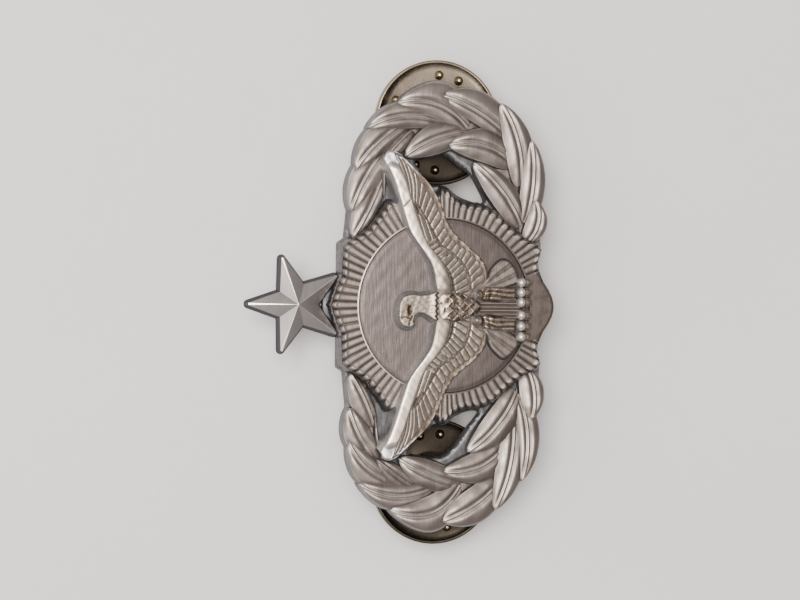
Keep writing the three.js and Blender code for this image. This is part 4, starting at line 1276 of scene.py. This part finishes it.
def clutch_base(side):
    """A dished disc with a rolled rim, a collar round its hole and four pairs of nubs."""
    spot, rim = POSTS[side], CLUTCH_RIM

    def part(profile, centre, segments):
        return turned([(r, z + rim) for r, z in profile[::-1]], centre, segments)

    parts = [part(BASE_PROFILE, spot, 144)]
    for quarter in range(4):
        for half in (-12.5, 12.5):
            a = math.radians(90 * quarter + NUB_TURN[side] + half)
            parts.append(part(NUB_PROFILE, spot + NUB_RING_R * np.array([math.cos(a), math.sin(a)]), 20))
    points, faces = merged(parts)
    r = np.hypot(points[:, 0] - spot[0], points[:, 1] - spot[1])
    z = points[:, 2] - rim
    nubs = smoothstep(-0.25, 0.05, z) * (r < 5) * (r > 2)
    # Where the disc lies inside the badge's outline it is painted dark and its nubs dimmed: a painted shadow
    # of the badge.
    covered = smoothstep(0.3, 2.6, plate_outline_distance(points[:, 0], points[:, 1]))
    clutch_shade = 0.0 if side == "right" else 0.8  # the left clutch lies in the badge's shadow, away from the light: painted shade on its disc and rim
    worn_and_highlit = 0.06 * smoothstep(-0.1, 0.0, z) * (r > 5) + nubs * (0.9 - 0.45 * covered)
    patina_and_shade = np.maximum(0.95 * covered, clutch_shade) * (1 - 0.6 * nubs)
    tints = {"worn_and_highlit": worn_and_highlit * (1 - 0.7 * clutch_shade * (r > 5)), "patina_and_shade": patina_and_shade}
    body = f"{side}_clutch_base"
    add_piece(f"{side}_clutch_disc", (points, faces), BRASS, body, body, tints, 30)


def rounded_rectangle(half_x, half_y, corner, count):
    """Points round a rectangle with round corners, starting at +X, evenly by angle."""
    a = round_angles(count)
    c, s = np.cos(a), np.sin(a)
    power = 2 + 2 * min(half_x, half_y) / corner
    r = (np.abs(c / half_x) ** power + np.abs(s / half_y) ** power) ** (-1 / power)
    return np.stack([r * c, r * s], axis=1)


def box_mesh(x0, x1, y0, y1, z0, z1):
    points = [(x, y, z) for x in (x0, x1) for y in (y0, y1) for z in (z0, z1)]
    faces = [[0, 1, 3, 2], [4, 6, 7, 5], [0, 4, 5, 1], [2, 3, 7, 6], [0, 2, 6, 4], [1, 5, 7, 3]]
    return np.array(points), faces


# The cover's sheet, from the flange's edge along the outside to the post hole and back along the
# inside: (radius, height from the rim), and between them (growth of the box's outline, its corner
# radius, height from the rim).
COVER_HALF_X, COVER_HALF_Y = 2.9, 3.75
COVER_SHEET = [
    (5.18, -0.9), (4.75, -0.92),
    (0.22, 1.0, -0.94), (0.05, 1.0, -1.02), (0.0, 1.0, -1.2), (-0.03, 1.0, -2.35), (-0.09, 0.9, -2.6),
    (-0.22, 0.9, -2.72), (-0.4, 0.85, -2.75),
    (1.5, -2.75), (1.2, -2.72), (1.0, -2.62), (0.86, -2.55), (0.8, -2.45),
    (0.82, -2.3), (1.1, -2.4), (1.5, -2.5),
    (-0.5, 0.85, -2.5), (-0.3, 0.9, -2.4), (-0.26, 0.9, -2.2), (-0.25, 1.0, -0.85), (-0.1, 1.0, -0.72),
    (4.75, -0.7), (5.18, -0.7),
]
SLOT_HALF_LENGTH = 2.55
SLOT_SPAN = (1.95, 3.05)
COVER_SHARP = 32


def clutch_cover(side):
    """The stamped cover: a flange, a raised box with round corners, a post hole and two slots."""
    spot, rim = POSTS[side], CLUTCH_RIM
    count = 144
    a = round_angles(count)
    ring = np.stack([np.cos(a), np.sin(a)], axis=1)
    rings = []
    for *size, z in COVER_SHEET:
        if len(size) == 1:
            outline = ring * size[0]
        else:
            grow, corner = size
            outline = rounded_rectangle(COVER_HALF_X + grow, COVER_HALF_Y + grow, corner, count)
        rings.append(np.c_[outline + spot, np.full(count, z + rim)])
    rings = np.stack(rings)
    node = f"{side}_clutch_cover"
    shape = rings.reshape(-1, 3), ring_surface(rings).tolist()
    body = add_piece(f"{side}_clutch_cap", shape, BRASS, node, node, sharp=COVER_SHARP)

    x0, x1 = spot[0] - SLOT_HALF_LENGTH, spot[0] + SLOT_HALF_LENGTH
    cutters = []
    for way in (1, -1):
        y0, y1 = sorted(way * y for y in SLOT_SPAN)
        cutters.append(box_mesh(x0, x1, spot[1] + y0, spot[1] + y1, rim - 3.2, rim - 2.15))
    mesh = badge_mesh("slots", *merged(cutters))
    cutter = link("slots", mesh)
    cut = body.modifiers.new("slots", "BOOLEAN")
    cut.operation = "DIFFERENCE"
    cut.object = cutter
    cut.solver = "EXACT"
    bpy.context.view_layer.update()
    shown = body.evaluated_get(bpy.context.evaluated_depsgraph_get())
    old = body.data
    body.data = bpy.data.meshes.new_from_object(shown)
    body.modifiers.clear()
    bpy.data.meshes.remove(old)
    bpy.data.objects.remove(cutter)
    bpy.data.meshes.remove(mesh)
    body.data.set_sharp_from_angle(angle=math.radians(COVER_SHARP))


# Middle line of a wing's sheet, from its jaw round the fulcrum to the curled tip: distance from the
# post's axis, and height from the clutch's rim.
WING_LINE = [
    (0.25, -1.4), (2.0, -1.4), (2.35, -1.47), (2.5, -1.75), (2.5, -2.5), (2.5, -2.97), (2.6, -3.4),
    (2.95, -4.0), (3.4, -4.6), (3.75, -5.1), (3.88, -5.42), (3.75, -5.7), (3.45, -5.74),
]
SHEET = 0.3


def clutch_wing(side, which):
    """One squeeze wing: a sheet that widens into a curled ear, with its jaw cut to fit the post."""
    spot, rim = POSTS[side], CLUTCH_RIM
    way = 1 if which == "upper" else -1
    line = even(WING_LINE, 90)
    normal = leftward(headings(line))
    ear = smoothstep(-2.9, -3.25, line[:, 1])  # the wider part below the cover
    half = 1.7 + 0.7 * ear
    tail = np.linspace(0, 1, len(line))
    half = half - 0.5 * smoothstep(0.9, 1.0, tail) ** 2
    v = np.linspace(-1, 1, 41)
    x = spot[0] + half[:, None] * v
    crown = 0.10 * ear[:, None] * (1 - v**2)
    # The jaw's end is hollowed to go round the post.
    notch = np.where(tail[:, None] < 0.1, np.sqrt(np.clip(0.64**2 - (half[:, None] * v) ** 2, 0, None)), 0)
    y = line[:, :1] + np.maximum(notch - line[:, :1], 0)

    def skin(offset):
        out = y + normal[:, :1] * (offset + crown)
        up = line[:, 1:] + normal[:, 1:] * (offset + crown) + rim
        return np.stack([x, spot[1] + way * out, up * np.ones_like(x)], axis=-1)

    front, rear = skin(SHEET / 2), skin(-SHEET / 2)
    loop = np.concatenate([front, rear[:, ::-1]], axis=1)
    shape = loop.reshape(-1, 3), [face[::way] for face in capped_tube(loop)]
    worn_and_highlit = 0.6 * smoothstep(0.86, 0.97, tail)[:, None] * np.ones((1, loop.shape[1]))
    body = f"{side}_clutch_wing_{which}"
    add_piece(f"{side}_wing_{which}", shape, BRASS, body, body, {"worn_and_highlit": worn_and_highlit}, 40)


WIRE_R = 0.2
SPRING_BEND = [(-2.1, 3.0), (-2.28, 2.6), (-2.3, 1.5), (-2.3, -1.5), (-2.28, -2.6), (-2.1, -3.0)]
SPRING_LEG = [(-1.98, 2.98), (-0.5, 2.98), (1.0, 2.98), (1.75, 2.98)]


def wire(name, points, body, node):
    """A round wire through points, with round ends."""
    radius = WIRE_R
    path = even(points, 40)
    ahead = headings(path)
    side = np.cross(ahead, (0.0, 0.0, 1.0))
    side /= np.linalg.norm(side, axis=1)[:, None]
    over = np.cross(side, ahead)
    a = round_angles(16)[None, :, None]
    rings = path[:, None] + radius * (side[:, None] * np.cos(a) + over[:, None] * np.sin(a))
    for end, step, inward in ((0, 1, ahead[0]), (-1, -1, -ahead[-1])):
        rings[end] = path[end] + (rings[end] - path[end]) * 0.55
        rings[end + step] = path[end] + inward * radius * 0.45 + (rings[end + step] - path[end + step])
    add_piece(name, (rings.reshape(-1, 3), capped_tube(rings)), SPRING_METAL, node, body, sharp=50)


def grip_spring(side):
    """The spring's bend across the post, and its two legs along the wings' jaws."""
    spot, z = POSTS[side], CLUTCH_RIM - 1.75

    def placed(line, way=1):
        return [(spot[0] + x, spot[1] + way * y, z) for x, y in line]

    wire(f"{side}_spring_bow", placed(SPRING_BEND), f"{side}_clutch_cover", f"{side}_spring_bend")
    for which, way in (("upper", 1), ("lower", -1)):
        body = f"{side}_spring_leg_{which}"
        wire(f"{side}_leg_{which}", placed(SPRING_LEG, way), body, body)


for side in POSTS:
    post(side)
    clutch_base(side)
    clutch_cover(side)
    clutch_wing(side, "upper")
    clutch_wing(side, "lower")
    grip_spring(side)


# ---- floor, light and camera -----------------------------------------------------
def floor():
    """A pale stone floor that can be seen through from below."""
    m = Nodes("pale_stone")
    cloud = m.noise(0.03, (1, 1, 1), 4.0, 0.6)
    grain = m.noise(0.8, (1, 1, 1), 4.0, 0.7)
    body = m.mix(m.spread(cloud, 0.3, 0.7), colour(0.735, 0.70, 0.675), colour(0.685, 0.65, 0.625))
    body = m.mix(m.math("MULTIPLY", m.spread(grain, 0.4, 0.75), 0.15), body, colour(0.55, 0.52, 0.50))
    m.feed(m.shader.inputs["Base Color"], body)
    m.shader.inputs["Roughness"].default_value = 0.5
    m.bumps((grain, 0.01))
    below = m.add("NewGeometry").outputs["Backfacing"]
    clear = m.add("BsdfTransparent").outputs[0]
    shader = m.add("MixShader", {0: below, 1: m.shader.outputs[0], 2: clear})
    m.tree.links.new(shader.outputs[0], m.tree.nodes["Material Output"].inputs["Surface"])
    size = 1.2
    corners = [(-size, -size, 0), (size, -size, 0), (size, size, 0), (-size, size, 0)]
    mesh = bpy.data.meshes.new("floor")
    mesh.from_pydata(corners, [], [[0, 1, 2, 3]])
    mesh.materials.append(m.material)
    link("floor", mesh)


def area_light(name, place, target, size, power, tint):
    data = bpy.data.lights.new(name, "AREA")
    data.shape = "RECTANGLE"
    data.size, data.size_y = size
    data.energy = power
    data.color = tint
    lamp = link(name, data)
    lamp.location = place
    lamp.rotation_euler = (Vector(target) - Vector(place)).to_track_quat("-Z", "Y").to_euler()


SKY_TILT = math.radians(30)  # how far the sky's brightest place is turned toward +Y
SKY_DIM, SKY_BRIGHT = 0.38, 1.72


def lights():
    """A room lit from overhead, brightest a little toward the star's side, with a soft lamp above."""
    world = bpy.data.worlds.new("studio")
    bpy.context.scene.world = world
    world.use_nodes = True
    tree = world.node_tree
    where = tree.nodes.new("ShaderNodeTexCoord").outputs["Generated"]
    facing = tree.nodes.new("ShaderNodeVectorMath")
    facing.operation = "DOT_PRODUCT"
    facing.inputs[1].default_value = (0.0, math.sin(SKY_TILT), math.cos(SKY_TILT))
    tree.links.new(where, facing.inputs[0])
    ramp = tree.nodes.new("ShaderNodeMapRange")
    ramp.interpolation_type = "SMOOTHSTEP"
    tree.links.new(facing.outputs["Value"], ramp.inputs["Value"])
    ramp_ends = {"From Min": 0.45, "From Max": 1.0, "To Min": SKY_DIM, "To Max": SKY_BRIGHT}
    for socket, value in ramp_ends.items():
        ramp.inputs[socket].default_value = value
    background = tree.nodes["Background"]
    background.inputs["Color"].default_value = (0.98, 0.98, 0.99, 1)
    tree.links.new(ramp.outputs[0], background.inputs["Strength"])
    area_light("window", (0.04, 0.13, 0.44), (0, 0, 0.005), (0.16, 0.16), 3.0, (1.0, 0.97, 0.94))


CAMERA_DISTANCE = 250.0
CAMERA_TILT = math.radians(11)
CAMERA_ROLL = math.radians(0.6)
CAMERA_LENS = 124.65
AIM = (0.5, 4.3, 3.0)


def camera():
    """Looks down at the badge from a little to the star's side, with the star to the left."""
    back = Vector((0, math.sin(CAMERA_TILT), math.cos(CAMERA_TILT)))
    up = Matrix.Rotation(CAMERA_ROLL, 3, back) @ Vector((1, 0, 0))
    right = up.cross(back)
    data = bpy.data.cameras.new("camera")
    data.sensor_width = 36
    data.lens = CAMERA_LENS
    data.clip_start = 0.01
    data.clip_end = 10
    viewer = link("camera", data)
    turn = Matrix((right, up, back)).transposed()
    place = (Vector(AIM) + Vector(ORIGIN) + back * CAMERA_DISTANCE) * MM
    viewer.matrix_world = Matrix.Translation(place) @ turn.to_4x4()
    bpy.context.scene.camera = viewer


floor()
lights()
camera()
